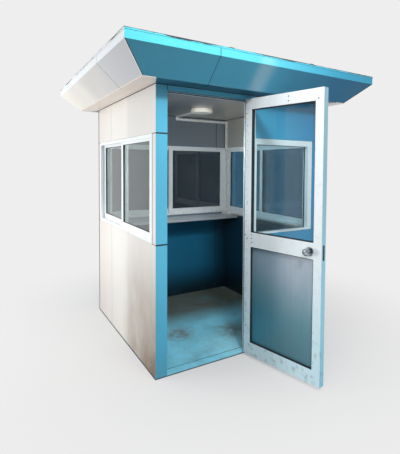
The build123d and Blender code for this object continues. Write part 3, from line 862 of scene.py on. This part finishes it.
def brushed_stainless():
    """Pressed stainless steel for hinges, strips and screws, brushed along its length."""
    material, tree = new_tree("stainless_steel_brushed")
    colour = layered(tree, "#7F868B", (patches(tree, (3, 3, 70), 0.3, 0.7), "#A5ABB0"))
    return finish(material, colour, patches(tree, (3, 3, 70), 0.3, 0.7, 0.26, 0.38), 1.0)


def satin_aluminium():
    """Extruded aluminium angle, satin anodised: silver, with lines 2 mm apart drawn along it."""
    material, tree = new_tree("aluminium_anodised_satin")
    colour = layered(tree, "#C3C8CC", (patches(tree, (90, 2, 2), 0.3, 0.7), "#DDE1E4"))
    return finish(material, colour, patches(tree, (90, 4, 4), to_low=0.36, to_high=0.46), 0.5)


def blackened_steel():
    """Hardened steel screws, oil-blackened, and the latch plate, painted dark for the shade in its recess:
    painted shade. Dark, with a dull sheen.
    """
    material, tree = new_tree("steel_oil_blackened")
    colour = layered(tree, "#2B3238", (patches(tree, 9, 0.4, 0.8, detail=4.0), "#555C61"))
    return finish(material, colour, patches(tree, 12, to_low=0.40, to_high=0.52), 0.5)


def filmed_panel():
    """Silver composite panel of the door, painted with a reflection of dark blue ground.

    It is pale at the top and painted bluer and darker towards the bottom and the hinges: painted
    reflection. Faint upright roller grain 8 mm wide shows through.
    """
    material, tree = new_tree("composite_panel_under_film")
    # Painted reflection: pale at the top, bluer and darker towards the bottom
    film = add_node(
        tree, "ShaderNodeValToRGB", inputs={"Fac": along(tree, "Z", panel_low.z, panel_high.z)},
        stops=[(0.0, "#588D9C"), (0.30, "#6C9EAD"), (0.65, "#97B4C2"), (1.0, "#C3CCD8")],
    )
    painted_reflection = along(tree, "Z", panel_low.z + 0.10, panel_high.z - 0.05, 0.85, 0.45)
    colour = layered(
        tree, film,
        # Painted reflection: bluer and darker towards the hinges
        (along(tree, "X", 0.30, 0.80, 0.0, painted_reflection, on_leaf=True), "#35899F"),
        (patches(tree, (8, 8, 400), 0.3, 0.7, 0.0, 0.05), "#DDE5EA"),
        (patches(tree, (11, 11, 600), 0.4, 0.7, 0.0, 0.07, 4.0), "#47687A"),
        (patches(tree, (150, 150, 260), 0.45, 0.75, 0.0, 0.15), "#4A8C9F"),
    )
    roughness = patches(tree, (200, 200, 500), to_low=0.30, to_high=0.38)
    return finish(material, colour, roughness, 0.4, Coat_Weight=0.3, Coat_Roughness=0.2)


class BOOTH_OT_finishes(bpy.types.Operator):
    """Give every cladding, frame, glass, lining and fitting node its finish"""

    bl_idname = "booth.finishes"
    bl_label = "Surface Finishes"

    def execute(self, context):
        colours = context.scene.booth_colours
        walls = ("wall_lower", "wall_upper")
        blue = coated_blue(colours, "coil_coated_composite_blue")
        dress(blue, "door_header", "door_mullion", "back_eaves")
        # Painted reflection: the front eaves carry the paler band
        dress(coated_blue(colours, "coil_coated_composite_rubbed", painted_reflection=0.65), "front_eaves")
        # Painted shade: the front and back soffits are painted darker
        dress(coated_blue(colours, "coil_coated_composite_grimed", 0.85), *named(BLUE_SIDES, "soffit"))
        dress(corner_post_coat(colours), *named(("post_front", "post_back"), *SILVER_SIDES))
        dress(coated_silver(colours), *named(SILVER_SIDES, "soffit", "eaves"))
        dress(ceiling_sheet(), "ceiling_panel")
        # Painted shade: the front and back walls' upper lining is the silver painted dark grey
        blue_wall = lined_wall(colours, "lined_composite_wall_blue", blue_tone, 0.0, "#98A3AE")
        dress(blue_wall, *named(BLUE_SIDES, *walls))
        # Painted light: the side walls' upper lining is lighter and warmer than that of the front and back
        # walls
        silver_wall = lined_wall(colours, "lined_composite_wall_silver", silver_tone, 0.3, "#D3CCC3")
        dress(silver_wall, *named(SILVER_SIDES, *walls))
        frames = named(("front", *SLIDING), "window_frame") + named(SLIDING, "window_sashes")
        dress(powder_coat(colours), *frames, "door_stops")
        dress(filmed_coat(colours), "door_stiles", "door_rails")
        dress(float_glass("float_glass_grey", colours.glass, "#D0DEE4", 0.08), "left_window_glass")
        # Painted reflection: the right panes' blue stands for the blue surroundings seen in them
        dress(float_glass("float_glass_blue", colours.blue_glass, "#9DB4BE", 0.04), "right_window_glass")
        # Painted shade: the back panes' dark tint stands for the dark surroundings seen through them
        dress(float_glass("float_glass_smoked", colours.smoked_glass, "#9DB4BE", 0.04), "back_window_glass")
        clear = float_glass("float_glass_clear", "#DAEBF0", "#F4F9FA", 0.08, 1.36)
        dress(clear, "door_glass", "front_window_glass")
        dress(filmed_panel(), "door_lower_panel")
        dress(floor_sheet(colours), "floor_board", "door_sill")
        dress(desk_laminate(), "desk_top")
        dress(moulded_plastic("lamp_diffuser_moulded", "#FAF5EA", "#F0E9DA"), "ceiling_lamp")
        trunking = moulded_plastic("cable_trunking_moulded", "#FAF9F6", "#E6E5E1")
        dress(trunking, "cable_trunking", "socket_box")
        dress(roof_steel(colours), "roof_sheet")
        dress(extruded_rubber(), "door_gaskets")
        dress(plated_chrome(), "door_knobs", "door_roses")
        hinges = ("door_hinge_jamb_leaves", "door_hinge_door_leaves")
        dress(brushed_stainless(), *hinges, "door_strike_plate")
        # Painted shade: the latch plate is dark for the shade of its recess
        dress(blackened_steel(), "door_latch_plate")
        return {"FINISHED"}


# Pieces


def bar(matrix, path, normal, half_a, half_b):
    """Bar of a rectangular section, centred on its path."""
    return swept(matrix, path, normal, rectangle(-half_a, half_a, -half_b, half_b))


def cladding_sealant(sizes):
    """Sealant in the panel joints: an L round each post at sill and head, and the upright butt joints.

    Each run is a rectangle of the joint's width, from the recess down to the bottom of the groove. On
    the blue faces of the posts it is smeared over the panels' edges, 11 mm wide and 1 mm proud. The
    lining's butt joint in the back wall is a flat strip.
    """
    half_depth = (JOINT_DEPTH - sizes.joint_recess) / 2
    depth = JOINT_DEPTH - half_depth
    half_width = sizes.joint_width / 2
    spread = SMEAR_SPREAD * half_width
    smear = rectangle(-SMEAR_PROUD, SMEAR_ROOT, -spread, spread)
    reaches = {
        "front": (FRONT_POST, WALL_THICKNESS), "right": (WALL_THICKNESS, FRONT_POST),
        "back": (BACK_POST, WALL_THICKNESS), "left": (WALL_THICKNESS, BACK_POST),
    }
    shapes = []
    for side, (along_wall, through_wall) in reaches.items():
        for z in (SILL, HEAD):
            path = [(along_wall, depth, z), (depth, depth, z), (depth, through_wall, z)]
            shapes.append(bar(SIDES[side], path, UP, half_depth, half_width))
            if side in BLUE_SIDES:
                shapes.append(swept(SIDES[side], [(along_wall, 0, z), (0, 0, z)], UP, smear))
    for side, u in (("right", SIDE_JOINT), ("left", 2 * HALF_DEPTH - SIDE_JOINT)):
        for z0, z1 in ((1 * MM, SILL), (HEAD, WALL_TOP)):
            shapes.append(bar(SIDES[side], [(u, depth, z0), (u, depth, z1)], ALONG, half_depth, half_width))
    for z0, z1 in ((FLOOR_TOP, desk_low.z), (HEAD, WALL_TOP)):
        path = [(LINING_JOINT, WALL_THICKNESS, z0), (LINING_JOINT, WALL_THICKNESS, z1)]
        shapes.append(bar(SIDES["back"], path, ALONG, LINING_STRIP / 2, LINING_SPREAD * half_width))
    return shapes


def eaves_section(depth):
    """Path across the soffit, flare and fascia at a depth below their outer face, as (v, z) points."""
    soffit_z = WALL_TOP + depth
    flare_v = -SOFFIT_REACH + depth * FLARE_RISE / FLARE_LENGTH
    flare_z = WALL_TOP + SHEET + depth * FLARE_RUN / FLARE_LENGTH
    fold_v = flare_v + (flare_z - soffit_z) * FLARE_RUN / FLARE_RISE
    fascia_v = depth - FASCIA_REACH
    fascia_z = flare_z + (flare_v - fascia_v) * FLARE_RISE / FLARE_RUN
    return [(-1 * MM, soffit_z), (fold_v, soffit_z), (fascia_v, fascia_z), (fascia_v, FASCIA_TOP)]


def eaves_sealant(sizes):
    """Sealant in the eaves' butt joints: a rectangle carried across soffit, flare and fascia."""
    half_depth = (SHEET - sizes.joint_recess) / 2
    section = eaves_section(SHEET - half_depth)
    joints = {
        "front": EAVES_JOINT, "right": EAVES_JOINT,
        "back": 2 * HALF_WIDTH - EAVES_JOINT, "left": 2 * HALF_DEPTH - EAVES_JOINT,
    }
    return [
        bar(SIDES[side], [(u, v, z) for v, z in section], ALONG, half_depth, sizes.joint_width / 2)
        for side, u in joints.items()
    ]


def mitre_strips(sides, width, fascia=True):
    """Thin strips along both ends of each side's flare, and its fascia if asked, from the mitre inward.

    On the flare the strip's section lies in the flare's plane, whose outward normal is worked out
    from its run and rise, and on the fascia it lies upright.
    """
    flare_out = np.array((0, -FLARE_RISE, -FLARE_RUN)) / FLARE_LENGTH
    profile = rectangle(0, width, -MITRE_ROOT, MITRE_PROUD)
    shapes = []
    for side in sides:
        for end, inward in ((0.0, 1), (2 * HALF_WIDTH, -1)):
            inner = (end - inward * SOFFIT_REACH, -SOFFIT_REACH, WALL_TOP + SHEET)
            outer = (end - inward * FASCIA_REACH, -FASCIA_REACH, FASCIA_BOTTOM)
            top = (end - inward * FASCIA_REACH, -FASCIA_REACH, FASCIA_TOP)
            runs = [([inner, outer], flare_out), ([outer, top], np.array((0, -1, 0)))]
            for path, normal in runs if fascia else runs[:1]:
                shapes.append(swept(SIDES[side], path[::inward], normal, profile))
    return shapes


def bead_section(leg, a_sign, b_sign):
    """Triangular bead in an inside corner, with its legs along the two faces."""
    return [(0, 0), (a_sign * leg, 0), (0, b_sign * leg)]


def room_path(height):
    """Plan of the inner wall faces, round from the doorway's right jamb back to its left jamb."""
    x, y = HALF_WIDTH - WALL_THICKNESS, HALF_DEPTH - WALL_THICKNESS
    return [
        (DOOR_RIGHT - HALF_WIDTH, -y, height), (x, -y, height), (x, y, height),
        (-x, y, height), (-x, -y, height), (DOOR_LEFT - HALF_WIDTH, -y, height),
    ]


def corner_beads(sizes):
    """Dark beads: under the soffit outside and at the ground, where they paint the shade in the corner:
    painted shade; and round the ceiling and floor inside.
    """
    leg = sizes.bead
    x, y = HALF_WIDTH, HALF_DEPTH
    outline = [(-x, -y), (x, -y), (x, y), (-x, y)]
    return [
        # Painted shade: the dark bead under the soffit
        swept(BOOTH, [(*p, WALL_TOP) for p in outline], UP, bead_section(leg, 1, -1), True),
        # Painted shade: the dark bead along the ground, a painted contact shadow
        swept(BOOTH, [(*p, 0) for p in outline], UP, bead_section(leg, 1, 1), True),
        swept(BOOTH, room_path(WALL_TOP)[1:5], UP, bead_section(leg, -1, -1), True),
        swept(BOOTH, room_path(FLOOR_TOP), UP, bead_section(leg, -1, 1)),
    ]


def doorway_beads(sizes):
    """Beads where the header meets the posts and the floor board meets the threshold."""
    half = sizes.joint_width / 2
    upright = rectangle(-HEADER_BEAD_PROUD, BEAD_ROOT, -half, half)
    level = rectangle(-half, half, -BEAD_ROOT, FLOOR_BEAD_PROUD)
    shapes = []
    for u in (DOOR_LEFT, DOOR_RIGHT):
        shapes.append(swept(SIDES["front"], [(u, 0, stops_high.z), (u, 0, WALL_TOP)], ALONG, upright))
    path = [(DOOR_LEFT, WALL_THICKNESS, FLOOR_TOP), (DOOR_RIGHT, WALL_THICKNESS, FLOOR_TOP)]
    return shapes + [swept(SIDES["front"], path, UP, level)]


def back_corner_beads(sizes):
    """Dark bead down the fold of each back post: a round section swept up the corner."""
    y = HALF_DEPTH - CORNER_INSET
    return [
        swept(BOOTH, [(x, y, 0), (x, y, WALL_TOP)], ALONG, round_profile(sizes.bead))
        for x in (CORNER_INSET - HALF_WIDTH, HALF_WIDTH - CORNER_INSET)
    ]


def ring_path(u0, u1, z0, z1, v):
    """Rectangle in a wall's plane, taken so that a swept profile's first axis points into it."""
    return [(u0, v, z0), (u1, v, z0), (u1, v, z1), (u0, v, z1)]


def frame_beads(sizes):
    """Thin bead between each window frame and the cladding round it."""
    section = bead_section(sizes.bead / 2, -1, -1)
    shapes = []
    for side in ("front", *SLIDING):
        low, high = (front_window_low, front_window_high) if side == "front" else (window_low, window_high)
        ring = ring_path(low.x + HALF_WIDTH, high.x + HALF_WIDTH, SILL, HEAD, 0)
        shapes.append(swept(SIDES[side], ring, INWARD, section, True))
    return shapes


def wedge_pair(side, opening, pane, width):
    """Rubber wedges round one opening on both faces of its pane, which taper away from the pane."""
    shapes = []
    for v, sign in zip(pane, (-1, 1)):
        profile = [(0, 0), (width, 0), (0.6 * width, sign * WEDGE_DEPTH), (0, sign * WEDGE_DEPTH)]
        shapes.append(swept(SIDES[side], ring_path(*opening, v), INWARD, profile, True))
    return shapes


def glazing_gaskets(sizes):
    """Rubber wedges round every window pane."""
    shapes = wedge_pair("front", FIXED_OPENING, FIXED_PANE, sizes.gasket_width)
    for side in SLIDING:
        for u0, u1, outer_face, inner_face in SASH_OPENINGS:
            middle = (outer_face + inner_face) / 2
            pane = (middle - PANE_THICKNESS / 2, middle + PANE_THICKNESS / 2)
            opening = (u0, u1, SASH_OPENING_LOW, SASH_OPENING_HIGH)
            shapes.extend(wedge_pair(side, opening, pane, sizes.gasket_width))
    return shapes


def door_seal():
    """Half-round rubber seal on the stops: up one jamb, across under the header and down the other."""
    left, right = DOOR_LEFT + SEAL_INSET, DOOR_RIGHT - SEAL_INSET
    v, top = stops_low.y + HALF_DEPTH, stops_high.z - SEAL_INSET
    path = [(left, v, FLOOR_TOP), (left, v, top), (right, v, top), (right, v, FLOOR_TOP)]
    profile = round_profile(SEAL_RADIUS, math.pi, 2 * math.pi, 9, False)
    return [swept(SIDES["front"], path, INWARD, profile)]


def screws_at(matrix, places, outward, radius):
    """Pan head screws at places in a frame, standing along outward: a turned dome with a recess."""
    head = turned(
        [
            (radius * 0.98, -0.3 * MM), (radius, 0.6 * MM), (radius * 0.85, 1.3 * MM),
            (radius * 0.45, 1.7 * MM), (radius * 0.35, 0.9 * MM), (radius * 0.05, 0.7 * MM),
        ],
        14,
    )
    turn = matrix[:3, :3]
    return [
        moved(head, standing(turn @ np.asarray(place) + matrix[:3, 3], turn @ np.asarray(outward, float)))
        for place in places
    ]


def leaf_screws(sizes):
    """Screws through the leaf's corner cleats, on both faces, and in the latch plate."""
    radius = sizes.screw_radius
    latch = [(LEAF_LEFT, LEAF_THICKNESS / 2, KNOB_Z + offset) for offset in (-LATCH_SCREW, LATCH_SCREW)]
    return [
        *screws_at(LEAF, [(u, LEAF_THICKNESS, z) for u, z in LEAF_SCREWS], (0, 1, 0), radius),
        *screws_at(LEAF, [(u, 0, z) for u, z in LEAF_SCREWS], (0, -1, 0), radius),
        *screws_at(LEAF, latch, (-1, 0, 0), radius * LATCH_SCREW_SCALE),
    ]


def hinge_screws(matrix, u, sizes):
    """Three screws down each hinge plate."""
    places = [
        (u, -HINGE_PLATE, height + share * HINGE_LENGTH)
        for height in HINGE_HEIGHTS for share in (-1 / 3, 0, 1 / 3)
    ]
    return screws_at(matrix, places, (0, -1, 0), sizes.screw_radius * HINGE_SCREW_SCALE)


def frame_screws(sizes):
    """Screws on the inside of the sliding windows' frames, and in the strike plate."""
    places = [
        (u, WALL_THICKNESS, z)
        for u in FRAME_SCREWS for z in (SILL + FRAME_SCREW_INSET, HEAD - FRAME_SCREW_INSET)
    ]
    shapes = []
    for side in SLIDING:
        shapes.extend(screws_at(SIDES[side], places, INWARD, sizes.screw_radius))
    strike = [(DOOR_LEFT, LEAF_THICKNESS / 2, KNOB_Z + offset) for offset in (-STRIKE_SCREW, STRIKE_SCREW)]
    return shapes + screws_at(SIDES["front"], strike, ALONG, sizes.screw_radius * LATCH_SCREW_SCALE)


def pin_caps():
    """Domed caps on both ends of each hinge pin."""
    dome = turned([(6 * MM, 0), (6 * MM, 1 * MM), (4 * MM, 2.4 * MM), (0.4 * MM, 3 * MM)], 20)
    shapes = []
    for height in HINGE_HEIGHTS:
        for sign in (-1, 1):
            point = SIDES["front"] @ np.array((HINGE_U, HINGE_V, height + sign * HINGE_LENGTH / 2, 1))
            shapes.append(moved(dome, standing(point[:3], (0, 0, sign))))
    return shapes


def desk_edge():
    """Aluminium angle over the desk's front edge: an L 1.2 mm thick, swept along it."""
    t, drop, lip = 1.2 * MM, 27 * MM, 14 * MM
    profile = [(t, -drop), (t, t), (-lip, t), (-lip, 0), (0, 0), (0, -drop)]
    x = HALF_WIDTH - WALL_THICKNESS
    return [swept(BOOTH, [(-x, desk_low.y, desk_high.z), (x, desk_low.y, desk_high.z)], UP, profile)]


def socket_plates():
    """Two cover plates on the socket box: rectangles swept towards the room."""
    x, z = socket_low.x, (socket_low.z + socket_high.z) / 2
    return [
        bar(BOOTH, [(x + 0.5 * MM, y, z), (x - PLATE_PROUD, y, z)], UP, 31 * MM, 17 * MM)
        for y in (socket_low.y + centre for centre in SOCKET_CENTRES)
    ]


def socket_slots():
    """Pin holes of the sockets: small dark pads, two to a plate, that paint the shade inside the holes:
    painted shade.
    """
    x, z = socket_low.x - PLATE_PROUD, (socket_low.z + socket_high.z) / 2
    pad = turned([(2.6 * MM, -0.5 * MM), (2.6 * MM, 0.2 * MM), (0.3 * MM, 0.3 * MM)], 16)
    return [
        moved(pad, standing((x, socket_low.y + centre + offset, z), (-1, 0, 0)))
        for centre in SOCKET_CENTRES for offset in (-PIN_OFFSET, PIN_OFFSET)
    ]


class BOOTH_OT_sealant(bpy.types.Operator):
    """Add the sealant in the joints and corners, and the strips along the eaves' mitres"""

    bl_idname = "booth.sealant"
    bl_label = "Sealant and Strips"

    def execute(self, context):
        sizes, colours = context.scene.booth_sizes, context.scene.booth_colours
        dark = gunned_sealant("silicone_sealant_gunned", colours.sealant, "#4E5960")
        brown = gunned_sealant("silicone_sealant_aged", "#6E675E", "#8C857B")
        for runs in (cladding_sealant, eaves_sealant, corner_beads, doorway_beads, back_corner_beads):
            make_piece(runs.__name__, runs(sizes), dark)
        make_piece("frame_beads", frame_beads(sizes), brown)
        make_piece("mitre_sealant", mitre_strips(BLUE_SIDES, MITRE_SEAM, False), dark)
        # Painted highlight: white strips on the silver side of each mitre, for the light caught by the
        # sheets' folded edges
        folds = mitre_strips(SILVER_SIDES, MITRE_FOLD)
        make_piece("mitre_folds", folds, powder_coat(colours))
        return {"FINISHED"}


class BOOTH_OT_gaskets(bpy.types.Operator):
    """Add the rubber round the window panes and on the door's stops"""

    bl_idname = "booth.gaskets"
    bl_label = "Gaskets"

    def execute(self, context):
        rubber = extruded_rubber()
        make_piece("glazing_gaskets", glazing_gaskets(context.scene.booth_sizes), rubber)
        make_piece("door_seal", door_seal(), rubber)
        return {"FINISHED"}


class BOOTH_OT_screws(bpy.types.Operator):
    """Add the screws of the door, its hinges and the window frames, and the hinge pins' caps"""

    bl_idname = "booth.screws"
    bl_label = "Screws"

    def execute(self, context):
        sizes = context.scene.booth_sizes
        dark, bright = blackened_steel(), brushed_stainless()
        make_piece("leaf_screws", leaf_screws(sizes), dark, "door")
        make_piece("frame_screws", frame_screws(sizes), dark)
        on_leaf = hinge_screws(LEAF, LEAF_HINGE_SCREW, sizes)
        make_piece("leaf_hinge_screws", on_leaf, bright, "door")
        on_jamb = hinge_screws(SIDES["front"], JAMB_HINGE_SCREW, sizes)
        make_piece("jamb_hinge_screws", on_jamb, bright)
        make_piece("hinge_pin_caps", pin_caps(), bright)
        return {"FINISHED"}


class BOOTH_OT_fittings(bpy.types.Operator):
    """Add the desk's edge angle and the sockets' cover plates"""

    bl_idname = "booth.fittings"
    bl_label = "Desk and Socket Fittings"

    def execute(self, context):
        make_piece("desk_edge", desk_edge(), satin_aluminium())
        plate = moulded_plastic("socket_plate_moulded", "#F1F2F0", "#D9DBD8")
        make_piece("socket_plates", socket_plates(), plate)
        make_piece("socket_slots", socket_slots(), extruded_rubber())
        return {"FINISHED"}


# Stage


class BOOTH_OT_stage(bpy.types.Operator):
    """Add the pale floor, the sky, the lamps and the camera"""

    bl_idname = "booth.stage"
    bl_label = "Stage"

    def execute(self, context):
        stage = context.scene.booth_stage
        add_floor(stage)
        add_sky(context.scene, stage)
        for name, settings in LAMPS.items():
            add_lamp(f"{name}_lamp", getattr(stage, f"{name}_power"), *settings)
        add_camera(context.scene, stage)
        context.scene.view_settings.view_transform = "Standard"
        return {"FINISHED"}


def add_floor(stage):
    """Round floor, one flat face, that fades into the background, so that its edge doesn't show.

    It is pale to the eye and darker to the light that it throws back up at the booth.
    """
    circle = round_profile(STAGE_RADIUS, sides=96)
    points = np.column_stack([circle, np.full(len(circle), -1 * MM)])
    mesh = bpy.data.meshes.new("stage_floor")
    mesh.from_pydata(points.tolist(), [], [list(range(len(circle)))])
    floor = bpy.data.objects.new("stage_floor", mesh)
    bpy.context.scene.collection.objects.link(floor)
    material, tree = new_tree("studio_floor_paper")
    point = add_node(tree, "ShaderNodeTexCoord", out="Object")
    far = add_node(tree, "ShaderNodeVectorMath", {"operation": "LENGTH"}, {0: point}, out="Value")
    seen = add_node(tree, "ShaderNodeLightPath", out="Is Camera Ray")
    edge = add_node(
        tree, "ShaderNodeMapRange", inputs={"Value": seen, "To Min": FADE_UNSEEN, "To Max": FADE_SEEN},
    )
    veil = add_node(tree, "ShaderNodeMapRange", inputs={"Value": seen, "To Min": 0.0, "To Max": 0.2})
    fade = add_node(
        tree, "ShaderNodeMapRange", SMOOTH,
        {"Value": far, "From Min": 0.0, "From Max": edge, "To Min": veil},
    )
    tone = layered(tree, "#929292", (seen, stage.floor))
    paper = add_node(tree, "ShaderNodeBsdfDiffuse", inputs={"Color": tone})
    clear = add_node(tree, "ShaderNodeBsdfTransparent")
    glow = add_node(tree, "ShaderNodeEmission", inputs={"Color": rgba(stage.background), "Strength": 1.0})
    outside = add_node(tree, "ShaderNodeMixShader", inputs={0: seen, 1: clear, 2: glow})
    both = add_node(tree, "ShaderNodeMixShader", inputs={0: fade, 1: paper, 2: outside})
    add_node(tree, "ShaderNodeOutputMaterial", inputs={"Surface": both})
    material.cycles.emission_sampling = "NONE"
    mesh.materials.append(material)


def add_sky(scene, stage):
    """Even sky: one plain colour to the eye and in glass and gloss, and a soft light on the rest."""
    world = bpy.data.worlds.new("studio_sky")
    scene.world = world
    world.use_nodes = True
    tree = world.node_tree
    tree.nodes.clear()
    seen = add_node(tree, "ShaderNodeLightPath", out="Is Camera Ray")
    for ray in ("Is Glossy Ray", "Is Transmission Ray"):
        other = add_node(tree, "ShaderNodeLightPath", out=ray)
        seen = add_node(tree, "ShaderNodeMath", {"operation": "MAXIMUM"}, {0: seen, 1: other})
    point = add_node(tree, "ShaderNodeTexCoord", out="Generated")
    height = add_node(tree, "ShaderNodeSeparateXYZ", inputs={"Vector": point}, out="Z")
    strength = add_node(
        tree, "ShaderNodeMapRange", SMOOTH,
        {"Value": height, "From Min": SKY_LOW, "From Max": SKY_HIGH,
         "To Min": stage.ground_strength, "To Max": stage.sky_strength},
    )
    light = add_node(tree, "ShaderNodeBackground", inputs={"Color": (1, 1, 1, 1), "Strength": strength})
    backdrop = add_node(
        tree, "ShaderNodeBackground", inputs={"Color": rgba(stage.background), "Strength": 1.0},
    )
    both = add_node(tree, "ShaderNodeMixShader", inputs={0: seen, 1: light, 2: backdrop})
    add_node(tree, "ShaderNodeOutputWorld", inputs={"Surface": both})


def add_lamp(name, power, place, target, size, spread):
    """Square area lamp that faces a target, with its light kept to a spread in degrees."""
    data = bpy.data.lights.new(name, "AREA")
    data.shape = "SQUARE"
    data.size = size
    data.energy = power
    data.spread = math.radians(spread)
    lamp = bpy.data.objects.new(name, data)
    bpy.context.scene.collection.objects.link(lamp)
    lamp.location = place
    lamp.rotation_euler = (Vector(target) - Vector(place)).to_track_quat("-Z", "Y").to_euler()
    lamp.visible_camera = False
    lamp.visible_glossy = False
    lamp.visible_transmission = False


def add_camera(scene, stage):
    """Camera at the photograph's viewpoint, shifted as the photograph's crop is."""
    data = bpy.data.cameras.new("camera")
    data.sensor_width = SENSOR_WIDTH
    data.lens = stage.focal_length
    data.shift_x = -(PRINCIPAL_X - IMAGE_WIDTH / 2) / IMAGE_HEIGHT
    data.shift_y = -(IMAGE_HEIGHT / 2 - PRINCIPAL_Y) / IMAGE_HEIGHT
    data.clip_end = VIEW_DEPTH
    camera = bpy.data.objects.new("camera", data)
    scene.collection.objects.link(camera)
    yaw, pitch, roll = CAMERA_YAW, CAMERA_PITCH, CAMERA_ROLL
    forward = Vector((math.sin(yaw) * math.cos(pitch), math.cos(yaw) * math.cos(pitch), math.sin(pitch)))
    level = Vector((math.cos(yaw), -math.sin(yaw), 0))
    upright = level.cross(forward)
    right = level * math.cos(roll) + upright * math.sin(roll)
    up = upright * math.cos(roll) - level * math.sin(roll)
    turn = Matrix((right, up, -forward)).transposed().to_4x4()
    camera.matrix_world = Matrix.Translation(CAMERA_PLACE) @ turn
    scene.camera = camera


class BOOTH_PT_panel(bpy.types.Panel):
    """Lists the booth's finishes and pieces"""

    bl_idname = "BOOTH_PT_panel"
    bl_label = "Guard Booth"
    bl_space_type = "VIEW_3D"
    bl_region_type = "UI"
    bl_category = "Guard Booth"

    def draw(self, context):
        layout = self.layout
        for operator in OPERATORS:
            layout.operator(operator.bl_idname)
        for group in (context.scene.booth_colours, context.scene.booth_sizes, context.scene.booth_stage):
            box = layout.box()
            for name in group.__annotations__:
                box.prop(group, name)


OPERATORS = (
    BOOTH_OT_finishes,
    BOOTH_OT_sealant,
    BOOTH_OT_gaskets,
    BOOTH_OT_screws,
    BOOTH_OT_fittings,
    BOOTH_OT_stage,
)
GROUPS = (BoothColours, BoothSizes, BoothStage)


def register():
    for item in (*GROUPS, *OPERATORS, BOOTH_PT_panel):
        bpy.utils.register_class(item)
    bpy.types.Scene.booth_colours = PointerProperty(type=BoothColours)
    bpy.types.Scene.booth_sizes = PointerProperty(type=BoothSizes)
    bpy.types.Scene.booth_stage = PointerProperty(type=BoothStage)


def unregister():
    del bpy.types.Scene.booth_stage
    del bpy.types.Scene.booth_sizes
    del bpy.types.Scene.booth_colours
    for item in reversed((*GROUPS, *OPERATORS, BOOTH_PT_panel)):
        bpy.utils.unregister_class(item)


def main():
    """Add every finish and piece in order."""
    register()
    for operator in OPERATORS:
        getattr(bpy.ops.booth, operator.bl_idname.split(".")[1])()


if __name__ == "__main__":
    main()
